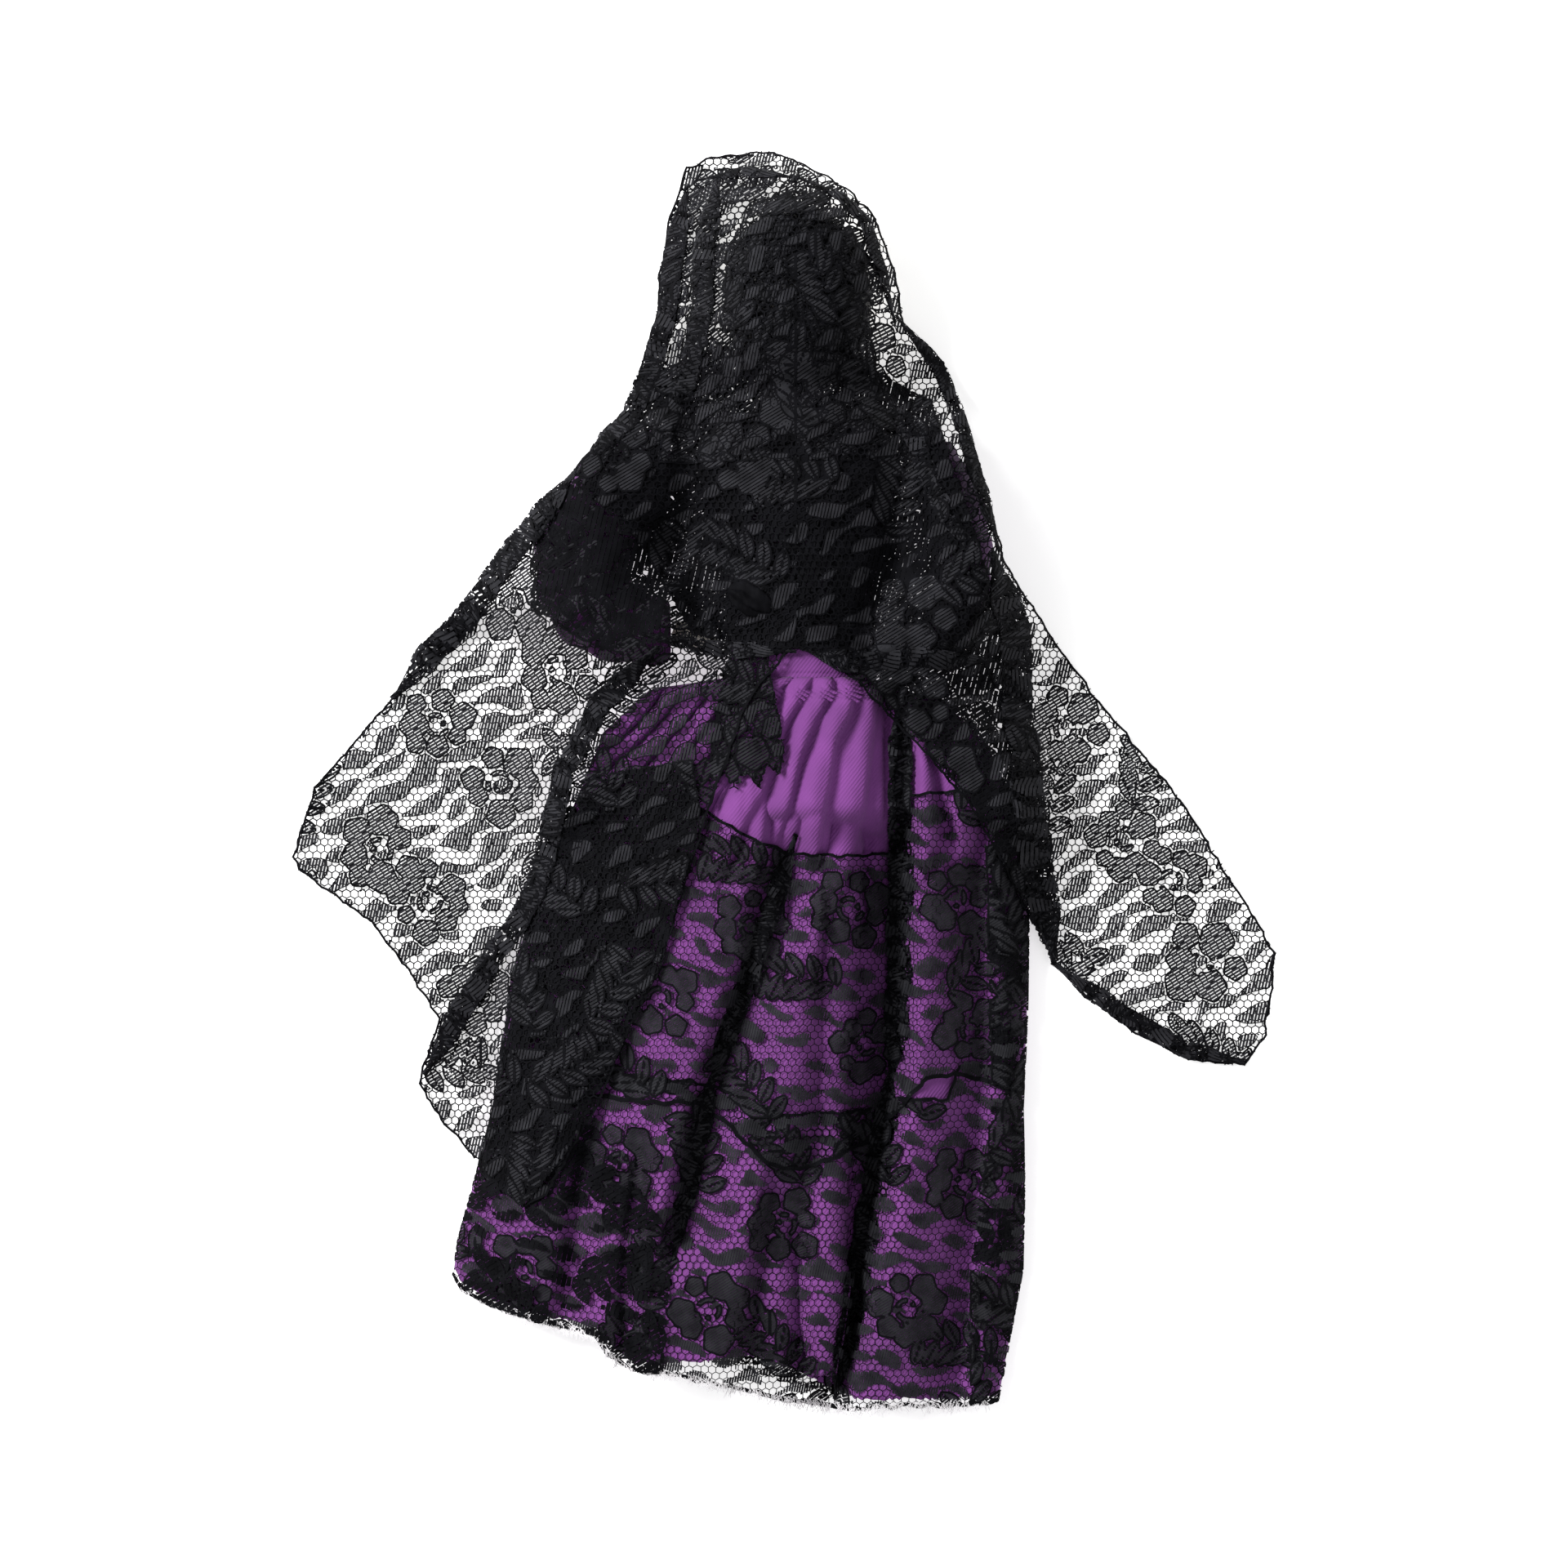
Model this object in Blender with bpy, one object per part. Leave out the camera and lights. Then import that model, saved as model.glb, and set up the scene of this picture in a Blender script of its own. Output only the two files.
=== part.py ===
"""Dressed papier-mache catrina figure lying on its front.

Millimetres in the tables below, converted once by MM.  X is the width, Y runs from the
feet to the crown and Z points up from the flat surface the figure lies on.  The face and
the front of the clothes are underneath; the back, the arms and the lace veil are on top.
"""
import math

import bmesh
import bpy
from mathutils import Vector
from mathutils.bvhtree import BVHTree
from mathutils.geometry import delaunay_2d_cdt

MM = 0.001

# Driving dimensions
CENTRE_X = 3.5            # spine, head and waist
CENTRE_Z = 18.0           # height of the spine above the surface
GAP = 0.3                 # room left between neighbouring pieces
PAPER = 2.0               # papier-mache wall
CLOTH = 0.8               # sewn cotton
LACE = 0.6                # lace flounces
SHOULDER_Y = 77.0
SHOULDER_OFFSET = 29.8    # shoulder hole from the centre line
WIRE_R = 0.8
DOWEL_R = 2.5

HEAD_Y = 118.0
HEAD_RADII = (15.0, 20.0, 16.0)
HAIR = 1.8

# Torso sections from the neck down: y, half width, half depth
TORSO = [(92, 7, 6), (86, 19, 8), (78, 23.5, 10), (62, 21, 10.8), (45, 16, 10.5),
         (30, 13, 9.5), (16, 18, 10), (2, 19, 10), (-4, 17, 9)]
BODICE_BOTTOM = 32.5

# Rows of the skirt from the waist to the hem: left end, right end, edge height,
# height of the back breadth, height of the front breadth, sag of the row
SKIRT = [((-13.5, 25.5), (20.5, 25.5), 18.0, 30.0, 6.0, 0),
         ((-34, 22), (40, 21), 14.0, 31.0, 3.5, 0),
         ((-44, 11), (49, 11), 8.0, 31.0, 1.6, 0),
         ((-52, -8), (58, -8), 3.2, 30.5, 0.9, 0),
         ((-62, -30), (60, -34), 2.2, 29.5, 0.9, 0),
         ((-68, -53), (59.5, -58), 2.2, 28.0, 0.9, 0),
         ((-72, -76), (58.5, -81), 2.2, 26.5, 0.9, 0),
         ((-76, -97), (59, -104), 2.2, 25.0, 0.9, 0),
         ((-81, -117), (56.5, -128), 2.2, 22.5, 0.9, -4),
         ((-79, -124), (52, -153), 2.2, 19.0, 0.9, -13.9)]
UPPER_FLOUNCE = (3.0, 5.96)   # rows of the skirt that each lace flounce covers
LOWER_FLOUNCE = (6.0, 9.0)

# Outline of the lace veil, anticlockwise from the crown
VEIL = [(-18, 155), (-24, 151), (-28, 140), (-30.5, 126), (-31, 116), (-35, 104), (-37, 92),
        (-52, 74), (-68, 52), (-96, 22), (-116, -1), (-121.6, -19), (-102, -34), (-85, -58),
        (-90, -74), (-77, -92), (-70, -102), (-62, -104), (-53, -91), (-45, -77), (-30, -48),
        (-17, -8), (-11, 14), (3, 33), (17, 25), (32, 8), (42, -6), (61, -34), (72, -49),
        (100, -68), (114, -69), (119, -62), (121.6, -40), (112, -25), (97, -3), (78, 20),
        (57, 48), (46, 78), (41, 98), (36, 106), (29, 112), (27, 124), (22, 138), (14, 146),
        (-3, 155.6)]
VEIL_PITCH = 8.0
VEIL_CLEARANCE = 1.5
ARM_SWING = math.radians(8)   # how far the arms can lift under the veil
VEIL_THICKNESS = 1.2
VEIL_FALL = 1.3            # how steeply the lace falls from what holds it up


def clear_scene():
    for obj in list(bpy.data.objects):
        bpy.data.objects.remove(obj, do_unlink=True)


def make_collection(name):
    collection = bpy.data.collections.new(name)
    bpy.context.scene.collection.children.link(collection)
    return collection


def make_material(name, colour, roughness, metallic=0.0):
    material = bpy.data.materials.new(name)
    material.use_nodes = True
    shader = material.node_tree.nodes["Principled BSDF"]
    shader.inputs["Base Color"].default_value = (*colour, 1.0)
    shader.inputs["Roughness"].default_value = roughness
    shader.inputs["Metallic"].default_value = metallic
    return material


def add_object(name, bm, material, smooth=True):
    """Turn a bmesh in millimetres into a named object in metres."""
    bmesh.ops.recalc_face_normals(bm, faces=bm.faces)
    bmesh.ops.scale(bm, vec=(MM, MM, MM), verts=bm.verts)
    mesh = bpy.data.meshes.new(name)
    bm.to_mesh(mesh)
    bm.free()
    mesh.materials.append(material)
    for polygon in mesh.polygons:
        polygon.use_smooth = smooth
    obj = bpy.data.objects.new(name, mesh)
    figure.objects.link(obj)
    return obj


def shell(name, outer, inner, material, wrap=False):
    """Closed solid between two matching grids of points; wrap joins the last column to the first."""
    bm = bmesh.new()
    made = {}

    def face(*points):
        corners = []
        for point in points:
            key = tuple(round(value, 5) for value in point)
            if key not in made:
                made[key] = bm.verts.new(point)
            if made[key] not in corners:
                corners.append(made[key])
        if len(corners) > 2:
            bm.faces.new(corners)

    rows = len(outer)
    columns = len(outer[0])
    spans = [(c, (c + 1) % columns) for c in range(columns if wrap else columns - 1)]
    for r in range(rows - 1):
        for c, d in spans:
            face(outer[r][c], outer[r][d], outer[r + 1][d], outer[r + 1][c])
            face(inner[r][c], inner[r + 1][c], inner[r + 1][d], inner[r][d])
    for r in (0, rows - 1):
        for c, d in spans:
            face(outer[r][c], inner[r][c], inner[r][d], outer[r][d])
    if not wrap:
        for c in (0, columns - 1):
            for r in range(rows - 1):
                face(outer[r][c], outer[r + 1][c], inner[r + 1][c], inner[r][c])
    return add_object(name, bm, material)


def loft(name, rings, material):
    """Closed solid through a row of matching rings, capped at both ends."""
    bm = bmesh.new()
    loops = [[bm.verts.new(point) for point in ring] for ring in rings]
    count = len(rings[0])
    for low, high in zip(loops, loops[1:]):
        for i in range(count):
            j = (i + 1) % count
            bm.faces.new((low[i], low[j], high[j], high[i]))
    bm.faces.new(loops[0])
    bm.faces.new(list(reversed(loops[-1])))
    return add_object(name, bm, material)


def limb(name, path, radii, material, flatness=1.0, sides=12):
    """Tapered round or flattened rod along a path of 3-D points."""
    points = [Vector(point) for point in path]
    rings = []
    for i, (point, radius) in enumerate(zip(points, radii)):
        ahead = points[min(i + 1, len(points) - 1)]
        behind = points[max(i - 1, 0)]
        along = (ahead - behind).normalized()
        across = along.cross(Vector((0, 0, 1))).normalized()
        up = across.cross(along)
        ring = []
        for k in range(sides):
            angle = 2 * math.pi * k / sides
            ring.append(point + across * radius * math.cos(angle)
                        + up * radius * flatness * math.sin(angle))
        rings.append(ring)
    return loft(name, rings, material)


def box(name, low, high, material):
    bm = bmesh.new()
    bmesh.ops.create_cube(bm, size=1.0)
    for vert in bm.verts:
        for axis in range(3):
            vert.co[axis] = high[axis] if vert.co[axis] > 0 else low[axis]
    bmesh.ops.bevel(bm, geom=bm.edges[:], offset=0.8, segments=1, affect="EDGES")
    return add_object(name, bm, material, smooth=False)


def cutter_rod(name, start, end, radius, sides=16):
    """Wire-display cylinder used to drill a hole."""
    obj = limb(name, [start, end], [radius, radius], materials["wire"], sides=sides)
    move_to_cutters(obj)
    return obj


def cutter_ball(name, centre, radii):
    bm = bmesh.new()
    bmesh.ops.create_uvsphere(bm, u_segments=14, v_segments=8, radius=1.0)
    bmesh.ops.scale(bm, vec=radii, verts=bm.verts)
    bmesh.ops.translate(bm, vec=centre, verts=bm.verts)
    obj = add_object(name, bm, materials["wire"])
    move_to_cutters(obj)
    return obj


def move_to_cutters(obj):
    figure.objects.unlink(obj)
    cutters.objects.link(obj)
    obj.hide_render = True
    obj.display_type = "WIRE"


def cut(target, cutter):
    modifier = target.modifiers.new("cut_" + cutter.name, "BOOLEAN")
    modifier.operation = "DIFFERENCE"
    modifier.solver = "EXACT"
    modifier.object = cutter


def half_section(y, half_width, half_depth, back, seam=GAP / 2, steps=10):
    """Points over the back (upper) or front (lower) half of an oval body section."""
    sign = 1 if back else -1
    points = []
    for i in range(steps + 1):
        angle = math.pi * i / steps
        points.append((CENTRE_X + half_width * math.cos(angle), y,
                       CENTRE_Z + sign * (seam + half_depth * math.sin(angle))))
    return points


def torso_size(y):
    """Half width and half depth of the torso at a height along the body."""
    for upper, lower in zip(TORSO, TORSO[1:]):
        if lower[0] <= y <= upper[0]:
            t = (upper[0] - y) / (upper[0] - lower[0])
            return [upper[k] + (lower[k] - upper[k]) * t for k in (1, 2)]
    raise ValueError("no torso there")


def head_half(name, grow_outer, grow_inner, back, material, neck_radius):
    """Half of an egg-shaped shell around the skull, open at the neck."""
    grids = []
    for grow in (grow_outer, grow_inner):
        radii = [radius + grow for radius in HEAD_RADII]
        start = math.asin(neck_radius / radii[0])
        rows = []
        for i in range(10):
            angle = start + (math.pi - start) * i / 9
            around = math.sin(angle)
            rows.append(half_section(HEAD_Y - radii[1] * math.cos(angle), radii[0] * around,
                                     radii[2] * around, back))
        grids.append(rows)
    return shell(name, grids[0], grids[1], material)


def make_head():
    face = head_half("skull_face", 0, -PAPER, False, materials["painted_paper"], DOWEL_R + 0.5)
    head_half("skull_back", 0, -PAPER, True, materials["painted_paper"], DOWEL_R + 0.5)
    head_half("hair_cap", GAP + HAIR, GAP, True, materials["hair"], 6.0)
    floor_side = CENTRE_Z - HEAD_RADII[2]
    for side in (-1, 1):
        socket = cutter_ball("socket_%s" % ("left" if side < 0 else "right"),
                             (CENTRE_X + side * 5.2, HEAD_Y + 1.0, floor_side + 0.2),
                             (3.6, 3.8, 2.2))
        cut(face, socket)
    nose = cutter_ball("nose_hollow", (CENTRE_X, HEAD_Y - 5.5, floor_side), (1.5, 2.0, 1.2))
    cut(face, nose)


def make_torso():
    stations = [92, 86, 78, 70, 62, 45, 30, 16, 2, -4]
    halves = []
    for back in (False, True):
        outer = []
        inner = []
        for y in stations:
            half_width, half_depth = torso_size(y)
            outer.append(half_section(y, half_width, half_depth, back))
            inner.append(half_section(y, half_width - PAPER, half_depth - PAPER, back))
        name = "torso_back" if back else "torso_front"
        halves.append(shell(name, outer, inner, materials["paper"]))
    box("hip_block", (CENTRE_X - 12, -3, CENTRE_Z - 5), (CENTRE_X + 12, 6, CENTRE_Z + 5),
        materials["wood"])
    dowel = limb("spine_dowel", [(CENTRE_X, 6.3, CENTRE_Z), (CENTRE_X, 106, CENTRE_Z)],
                 [DOWEL_R, DOWEL_R], materials["wood"], sides=20)
    return halves, dowel


def make_bodice():
    stations = [90, 86, 78, 70, 62, 45, BODICE_BOTTOM]
    halves = []
    for back in (False, True):
        outer = []
        inner = []
        for y in stations:
            half_width, half_depth = torso_size(y)
            far = 2 * GAP + CLOTH
            outer.append(half_section(y, half_width + far, half_depth + far, back))
            inner.append(half_section(y, half_width + 2 * GAP, half_depth + 2 * GAP, back))
        name = "bodice_back" if back else "bodice_front"
        halves.append(shell(name, outer, inner, materials["purple_cotton"]))
    return halves


def make_shoulder_wire(drilled):
    """One wire through both arms, the torso and the spine, its ends bent over."""
    reach = SHOULDER_OFFSET + 5.0
    path = [(CENTRE_X - reach, SHOULDER_Y, CENTRE_Z + 3), (CENTRE_X - reach, SHOULDER_Y, CENTRE_Z),
            (CENTRE_X + reach, SHOULDER_Y, CENTRE_Z), (CENTRE_X + reach, SHOULDER_Y, CENTRE_Z + 3)]
    curve = bpy.data.curves.new("shoulder_wire", "CURVE")
    curve.dimensions = "3D"
    curve.bevel_depth = WIRE_R * MM
    curve.bevel_resolution = 2
    curve.use_fill_caps = True
    spline = curve.splines.new("POLY")
    spline.points.add(len(path) - 1)
    for point, place in zip(spline.points, path):
        point.co = (*[value * MM for value in place], 1.0)
    curve.materials.append(materials["wire"])
    wire = bpy.data.objects.new("shoulder_wire", curve)
    figure.objects.link(wire)
    drill = cutter_rod("shoulder_drill", (CENTRE_X - reach, SHOULDER_Y, CENTRE_Z),
                       (CENTRE_X + reach, SHOULDER_Y, CENTRE_Z), WIRE_R + GAP)
    for target in drilled:
        cut(target, drill)


def make_arm(side, elbow_out, sleeve_width):
    """Arm, hand and puffed sleeve on one side; the elbow points out and the hand is at the waist."""
    prefix = "left" if side < 0 else "right"
    shoulder_x = CENTRE_X + side * SHOULDER_OFFSET

    def out(distance):
        return shoulder_x + side * distance

    def bend(angle):
        low_elbow = 0.55 + 0.75 * angle / math.pi
        return (out(1.4 + elbow_out * low_elbow * math.sin(angle)), 57 + 20 * math.cos(angle), CENTRE_Z)

    arm_path = [(out(0), 81, CENTRE_Z), (out(0), SHOULDER_Y, CENTRE_Z), (out(4), 71.5, CENTRE_Z)]
    arm_path += [bend(math.radians(degrees)) for degrees in (75, 100, 130, 160, 178)]
    arm = limb(prefix + "_arm", arm_path, [2.4, 3.2, 3.0, 2.8, 2.8, 2.6, 2.3, 2.0],
               materials["paper"])
    hand_path = [(out(0.5), 38, CENTRE_Z), (out(-3), 36.6, CENTRE_Z), (out(-7), 35, CENTRE_Z),
                 (out(-9.5), 34, CENTRE_Z)]
    limb(prefix + "_hand", hand_path, [1.8, 3.0, 2.8, 1.4], materials["painted_paper"],
         flatness=0.6)

    outer = []
    inner = []
    for i in range(11):
        angle = math.pi * i / 10
        bulge = math.sin(angle) ** 0.7
        centre = Vector(bend(angle))
        across = Vector((side * math.sin(angle), math.cos(angle), 0))
        opening = 9.2 + (6.5 - 9.2) * i / 10
        width = opening + (sleeve_width - opening) * bulge
        depth = 6.5 + 3.5 * bulge
        for rows, wall in ((outer, 0), (inner, CLOTH)):
            ring = []
            for k in range(16):
                turn = 2 * math.pi * k / 16
                ring.append(centre + across * (width - wall) * math.cos(turn)
                            + Vector((0, 0, (depth - wall) * math.sin(turn))))
            rows.append(ring)
    shell(prefix + "_sleeve", outer, inner, materials["purple_cotton"], wrap=True)
    return arm


def make_leg(side):
    prefix = "left" if side < 0 else "right"
    top = CENTRE_X + side * 8.5
    ankle = CENTRE_X + side * 6
    limb(prefix + "_leg", [(top, -5, 16), (top, -30, 14.5), (ankle, -75, 12), (ankle, -117, 9.5)],
         [5.2, 5.5, 4.2, 3.2], materials["paper"])
    limb(prefix + "_boot", [(ankle, -117.4, 9.5), (ankle, -122, 9.3), (ankle, -132, 8.2),
                            (ankle, -140, 7.2)],
         [3.8, 5.2, 4.2, 1.6], materials["boot_paint"])


def oval_band(name, stations, material):
    """Closed band round the waist; stations hold y, outer and inner half width and depth."""
    grids = ([], [])
    for y, outer_size, inner_size in stations:
        for rows, (half_width, half_depth) in zip(grids, (outer_size, inner_size)):
            ring = []
            for k in range(24):
                angle = 2 * math.pi * k / 24
                ring.append((CENTRE_X + half_width * math.cos(angle), y,
                             CENTRE_Z + half_depth * math.sin(angle)))
            rows.append(ring)
    return shell(name, grids[0], grids[1], material, wrap=True)


def skirt_row(row):
    """Values of the skirt table at a fractional row."""
    low = min(int(row), len(SKIRT) - 2)
    t = row - low
    values = []
    for a, b in zip(SKIRT[low], SKIRT[low + 1]):
        if isinstance(a, tuple):
            values.append([a[k] + (b[k] - a[k]) * t for k in (0, 1)])
        else:
            values.append(a + (b - a) * t)
    return values


def skirt_point(row, t, back, lift):
    """A point of the front or back breadth, t from the left edge to the right, raised by lift."""
    left, right, edge, back_height, front_height, sag = skirt_row(row)
    arch = math.sin(math.pi * t)
    if back:
        z = edge + (back_height - edge) * max(arch, 0) ** 0.6
    else:
        z = edge - GAP - CLOTH + (front_height - edge + GAP + CLOTH) * min(1, 3 * arch)
    return (left[0] + (right[0] - left[0]) * t, left[1] + (right[1] - left[1]) * t + sag * arch,
            z + lift)


def skirt_panel(name, rows, back, low, high, material, columns=16):
    grids = []
    for lift in (high, low):
        grids.append([[skirt_point(row, c / columns, back, lift) for c in range(columns + 1)]
                      for row in rows])
    return shell(name, grids[0], grids[1], material)


def make_skirt():
    oval_band("waistband", [(32, (16.6, 12.2), (15.3, 11.0)), (26, (16.6, 12.2), (15.3, 11.0))],
              materials["purple_cotton"])
    whole = [row for row in range(len(SKIRT))]
    skirt_panel("skirt_back", whole, True, 0, CLOTH, materials["purple_cotton"])
    skirt_panel("skirt_front", whole, False, 0, CLOTH, materials["purple_cotton"])
    for name, (start, end) in (("upper", UPPER_FLOUNCE), ("lower", LOWER_FLOUNCE)):
        rows = [start + (end - start) * i / 3 for i in range(4)]
        low = CLOTH + GAP
        skirt_panel(name + "_lace_back", rows, True, low, low + LACE, materials["black_lace"])
        front = [[(*skirt_point(row, 0.04 + 0.92 * c / 12, False, 0)[:2], z) for c in range(13)]
                 for z in (0.5, 0.0) for row in rows]
        shell(name + "_lace_front", front[:4], front[4:], materials["black_lace"])


def make_sash():
    oval_band("waist_sash", [(39.5, (18.8, 13.6), (17.4, 12.3)), (33.5, (18.2, 12.9), (16.8, 11.7))],
              materials["black_lace"])
    limb("sash_knot", [(-13, 46, 31.5), (-11, 45.5, 31.5), (-7.5, 44.5, 31.5), (-4, 43.5, 31.5),
                       (-2.5, 43, 31.5)], [1.2, 2.9, 3.4, 2.9, 1.2], materials["black_lace"],
         flatness=0.7)
    rows = [(39.8, -11, -5, 32.2), (33, -12, -4.5, 32.2), (26, -14, -3.5, 32.4),
            (15, -17, -1, 32.6), (0.5, -18, 0.5, 32.6)]
    grids = []
    for lift in (LACE, 0):
        grids.append([[(left + (right - left) * c / 4, y, z + lift) for c in range(5)]
                      for y, left, right, z in rows])
    shell("sash_tail", grids[0], grids[1], materials["black_lace"])


def inside(point, outline):
    """True when a point lies inside a closed outline."""
    crossings = 0
    for (ax, ay), (bx, by) in zip(outline, outline[1:] + outline[:1]):
        if (ay > point[1]) != (by > point[1]):
            crossings += point[0] < ax + (bx - ax) * (point[1] - ay) / (by - ay)
    return crossings % 2 == 1


def veil_sheet():
    """Flat triangulation of the veil: its outline and an even field of inner points."""
    outline = []
    for a, b in zip(VEIL, VEIL[1:] + VEIL[:1]):
        steps = max(1, round(math.dist(a, b) / VEIL_PITCH))
        outline += [(a[0] + (b[0] - a[0]) * i / steps, a[1] + (b[1] - a[1]) * i / steps)
                    for i in range(steps)]
    points = list(outline)
    for row in range(-20, 21):
        for column in range(-17, 18):
            spot = ((column + 0.5 * (row % 2)) * VEIL_PITCH, row * VEIL_PITCH)
            clear = all(math.dist(spot, p) > 0.5 * VEIL_PITCH for p in outline)
            if clear and inside(spot, outline):
                points.append(spot)
    edge = [(i, (i + 1) % len(outline)) for i in range(len(outline))]
    verts, _, faces, _, _, _ = delaunay_2d_cdt([Vector(p) for p in points], edge, [], 1, 1e-6)
    kept = []
    for face in faces:
        middle = sum((verts[i] for i in face), Vector((0, 0))) / 3
        if inside(middle, outline):
            kept.append(list(face))
    return verts, kept


def lifted_sleeve(obj):
    """Search tree of a sleeve swung up about the shoulder wire as far as it goes."""
    points = []
    for vert in obj.data.vertices:
        y = vert.co.y - SHOULDER_Y * MM
        z = vert.co.z - CENTRE_Z * MM
        points.append((vert.co.x,
                       SHOULDER_Y * MM + y * math.cos(ARM_SWING) + z * math.sin(ARM_SWING),
                       CENTRE_Z * MM + z * math.cos(ARM_SWING) - y * math.sin(ARM_SWING)))
    return BVHTree.FromPolygons(points, [list(polygon.vertices) for polygon in obj.data.polygons])


def make_veil():
    """Drape the veil: held up by whatever is below it, hanging down to the surface elsewhere."""
    bpy.context.view_layer.update()
    depsgraph = bpy.context.evaluated_depsgraph_get()
    trees = [BVHTree.FromObject(obj, depsgraph) for obj in figure.objects]
    trees += [lifted_sleeve(obj) for obj in figure.objects if obj.name.endswith("_sleeve")]

    def top(x, y):
        height = 0.0
        for tree in trees:
            hit = tree.ray_cast(Vector((x * MM, y * MM, 0.1)), Vector((0, 0, -1)))[0]
            if hit:
                height = max(height, hit.z / MM + VEIL_CLEARANCE)
        return height

    verts, faces = veil_sheet()
    reach = [(0, 0)]
    for distance in (0.35 * VEIL_PITCH, 0.7 * VEIL_PITCH):
        reach += [(distance * math.cos(k * math.pi / 4), distance * math.sin(k * math.pi / 4))
                  for k in range(8)]
    held = [max(top(v.x + dx, v.y + dy) for dx, dy in reach) for v in verts]
    neighbours = [set() for _ in verts]
    for face in faces:
        for i in face:
            neighbours[i].update(j for j in face if j != i)
    heights = list(held)
    for _ in range(20):
        heights = [max([low] + [heights[j] - VEIL_FALL * math.dist(verts[i], verts[j]) for j in near])
                   for i, (low, near) in enumerate(zip(held, neighbours))]
    for _ in range(3):
        heights = [max(low, sum(heights[j] for j in near) / len(near))
                   for low, near in zip(held, neighbours)]

    bm = bmesh.new()
    lower = [bm.verts.new((v.x, v.y, z)) for v, z in zip(verts, heights)]
    upper = [bm.verts.new((v.x, v.y, z + VEIL_THICKNESS)) for v, z in zip(verts, heights)]
    sides = {}
    for face in faces:
        bm.faces.new([upper[i] for i in face])
        bm.faces.new([lower[i] for i in reversed(face)])
        for i, j in zip(face, face[1:] + face[:1]):
            sides[(i, j)] = True
    for i, j in sides:
        if (j, i) not in sides:
            bm.faces.new((upper[j], upper[i], lower[i], lower[j]))
    add_object("lace_veil", bm, materials["black_lace"])


clear_scene()
figure = make_collection("papier_mache_catrina_figure")
cutters = make_collection("cutters")
materials = {
    "paper": make_material("papier_mache", (0.62, 0.55, 0.42), 0.85),
    "painted_paper": make_material("painted_papier_mache", (0.86, 0.83, 0.75), 0.5),
    "boot_paint": make_material("boot_paint", (0.03, 0.03, 0.035), 0.35),
    "hair": make_material("hair", (0.015, 0.012, 0.012), 0.6),
    "wood": make_material("wood", (0.55, 0.38, 0.2), 0.6),
    "wire": make_material("wire", (0.5, 0.5, 0.5), 0.35, 1.0),
    "purple_cotton": make_material("purple_cotton", (0.22, 0.045, 0.26), 0.9),
    "black_lace": make_material("black_lace", (0.012, 0.012, 0.015), 0.75),
}

make_head()
torso_halves, spine = make_torso()
bodice_halves = make_bodice()
arms = [make_arm(-1, 22.0, 12.0), make_arm(1, 9.0, 7.5)]
for leg_side in (-1, 1):
    make_leg(leg_side)
make_shoulder_wire([*torso_halves, *bodice_halves, spine, *arms])
make_skirt()
make_sash()
make_veil()
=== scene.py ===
import math

import bpy
import numpy as np
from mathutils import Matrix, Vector
from mathutils.bvhtree import BVHTree


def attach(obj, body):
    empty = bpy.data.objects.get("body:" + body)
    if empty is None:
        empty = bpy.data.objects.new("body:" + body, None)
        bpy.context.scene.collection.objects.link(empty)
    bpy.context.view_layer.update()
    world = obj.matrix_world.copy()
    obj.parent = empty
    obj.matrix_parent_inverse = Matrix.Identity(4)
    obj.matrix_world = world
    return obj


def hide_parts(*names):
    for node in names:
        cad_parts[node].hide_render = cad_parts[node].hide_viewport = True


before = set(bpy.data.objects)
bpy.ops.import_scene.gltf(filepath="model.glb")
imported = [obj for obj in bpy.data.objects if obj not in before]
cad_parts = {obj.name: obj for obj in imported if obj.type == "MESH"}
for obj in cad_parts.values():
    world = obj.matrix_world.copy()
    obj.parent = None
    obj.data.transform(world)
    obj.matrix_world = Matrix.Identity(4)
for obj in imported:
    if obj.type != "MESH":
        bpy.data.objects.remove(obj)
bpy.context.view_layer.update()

# All sizes are in millimetres until a mesh is made.  X is across the figure, Y towards the
# crown and Z up from the surface it lies on, as in the CAD frame.
MM = 0.001
HEAD = (3.5, 118.0, 18.0)
AXIS_X = 3.5
BODY_Z = 18.0

# ---------------------------------------------------------------- outlines
VEIL_LEFT_OUT = [(-18, 155), (-24, 152), (-28, 140), (-30.4, 126), (-31, 116), (-35, 104), (-37, 92),
                 (-52, 74), (-68, 52), (-96, 22), (-116, -1), (-121.4, -18), (-120, -21), (-102, -34),
                 (-93, -46), (-85, -58), (-88, -66), (-90, -74), (-84, -84), (-76, -92)]
VEIL_LEFT_IN = [(-70, -98), (-64, -103), (-58, -100), (-53, -91), (-45, -77), (-38, -60), (-30, -44),
                (-24, -24), (-19, -8), (-13, 8), (-10, 18), (-4, 26), (2, 33)]
VEIL_RIGHT_IN = [(9, 31), (17, 25.5), (26, 16), (34, 8), (46, -6), (54, -20), (61, -34)]
VEIL_RIGHT_OUT = [(66, -43), (72, -49), (86, -61), (100, -68), (114, -69.5), (119, -62), (121.4, -42),
                  (113, -28), (98, -4), (78, 20), (57, 48), (53, 54), (47, 78), (41, 98), (36, 106),
                  (29, 112), (27, 124), (22, 138), (14, 146), (4, 152), (-3, 155.6)]
VEIL = VEIL_LEFT_OUT + VEIL_LEFT_IN + VEIL_RIGHT_IN + VEIL_RIGHT_OUT

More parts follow.
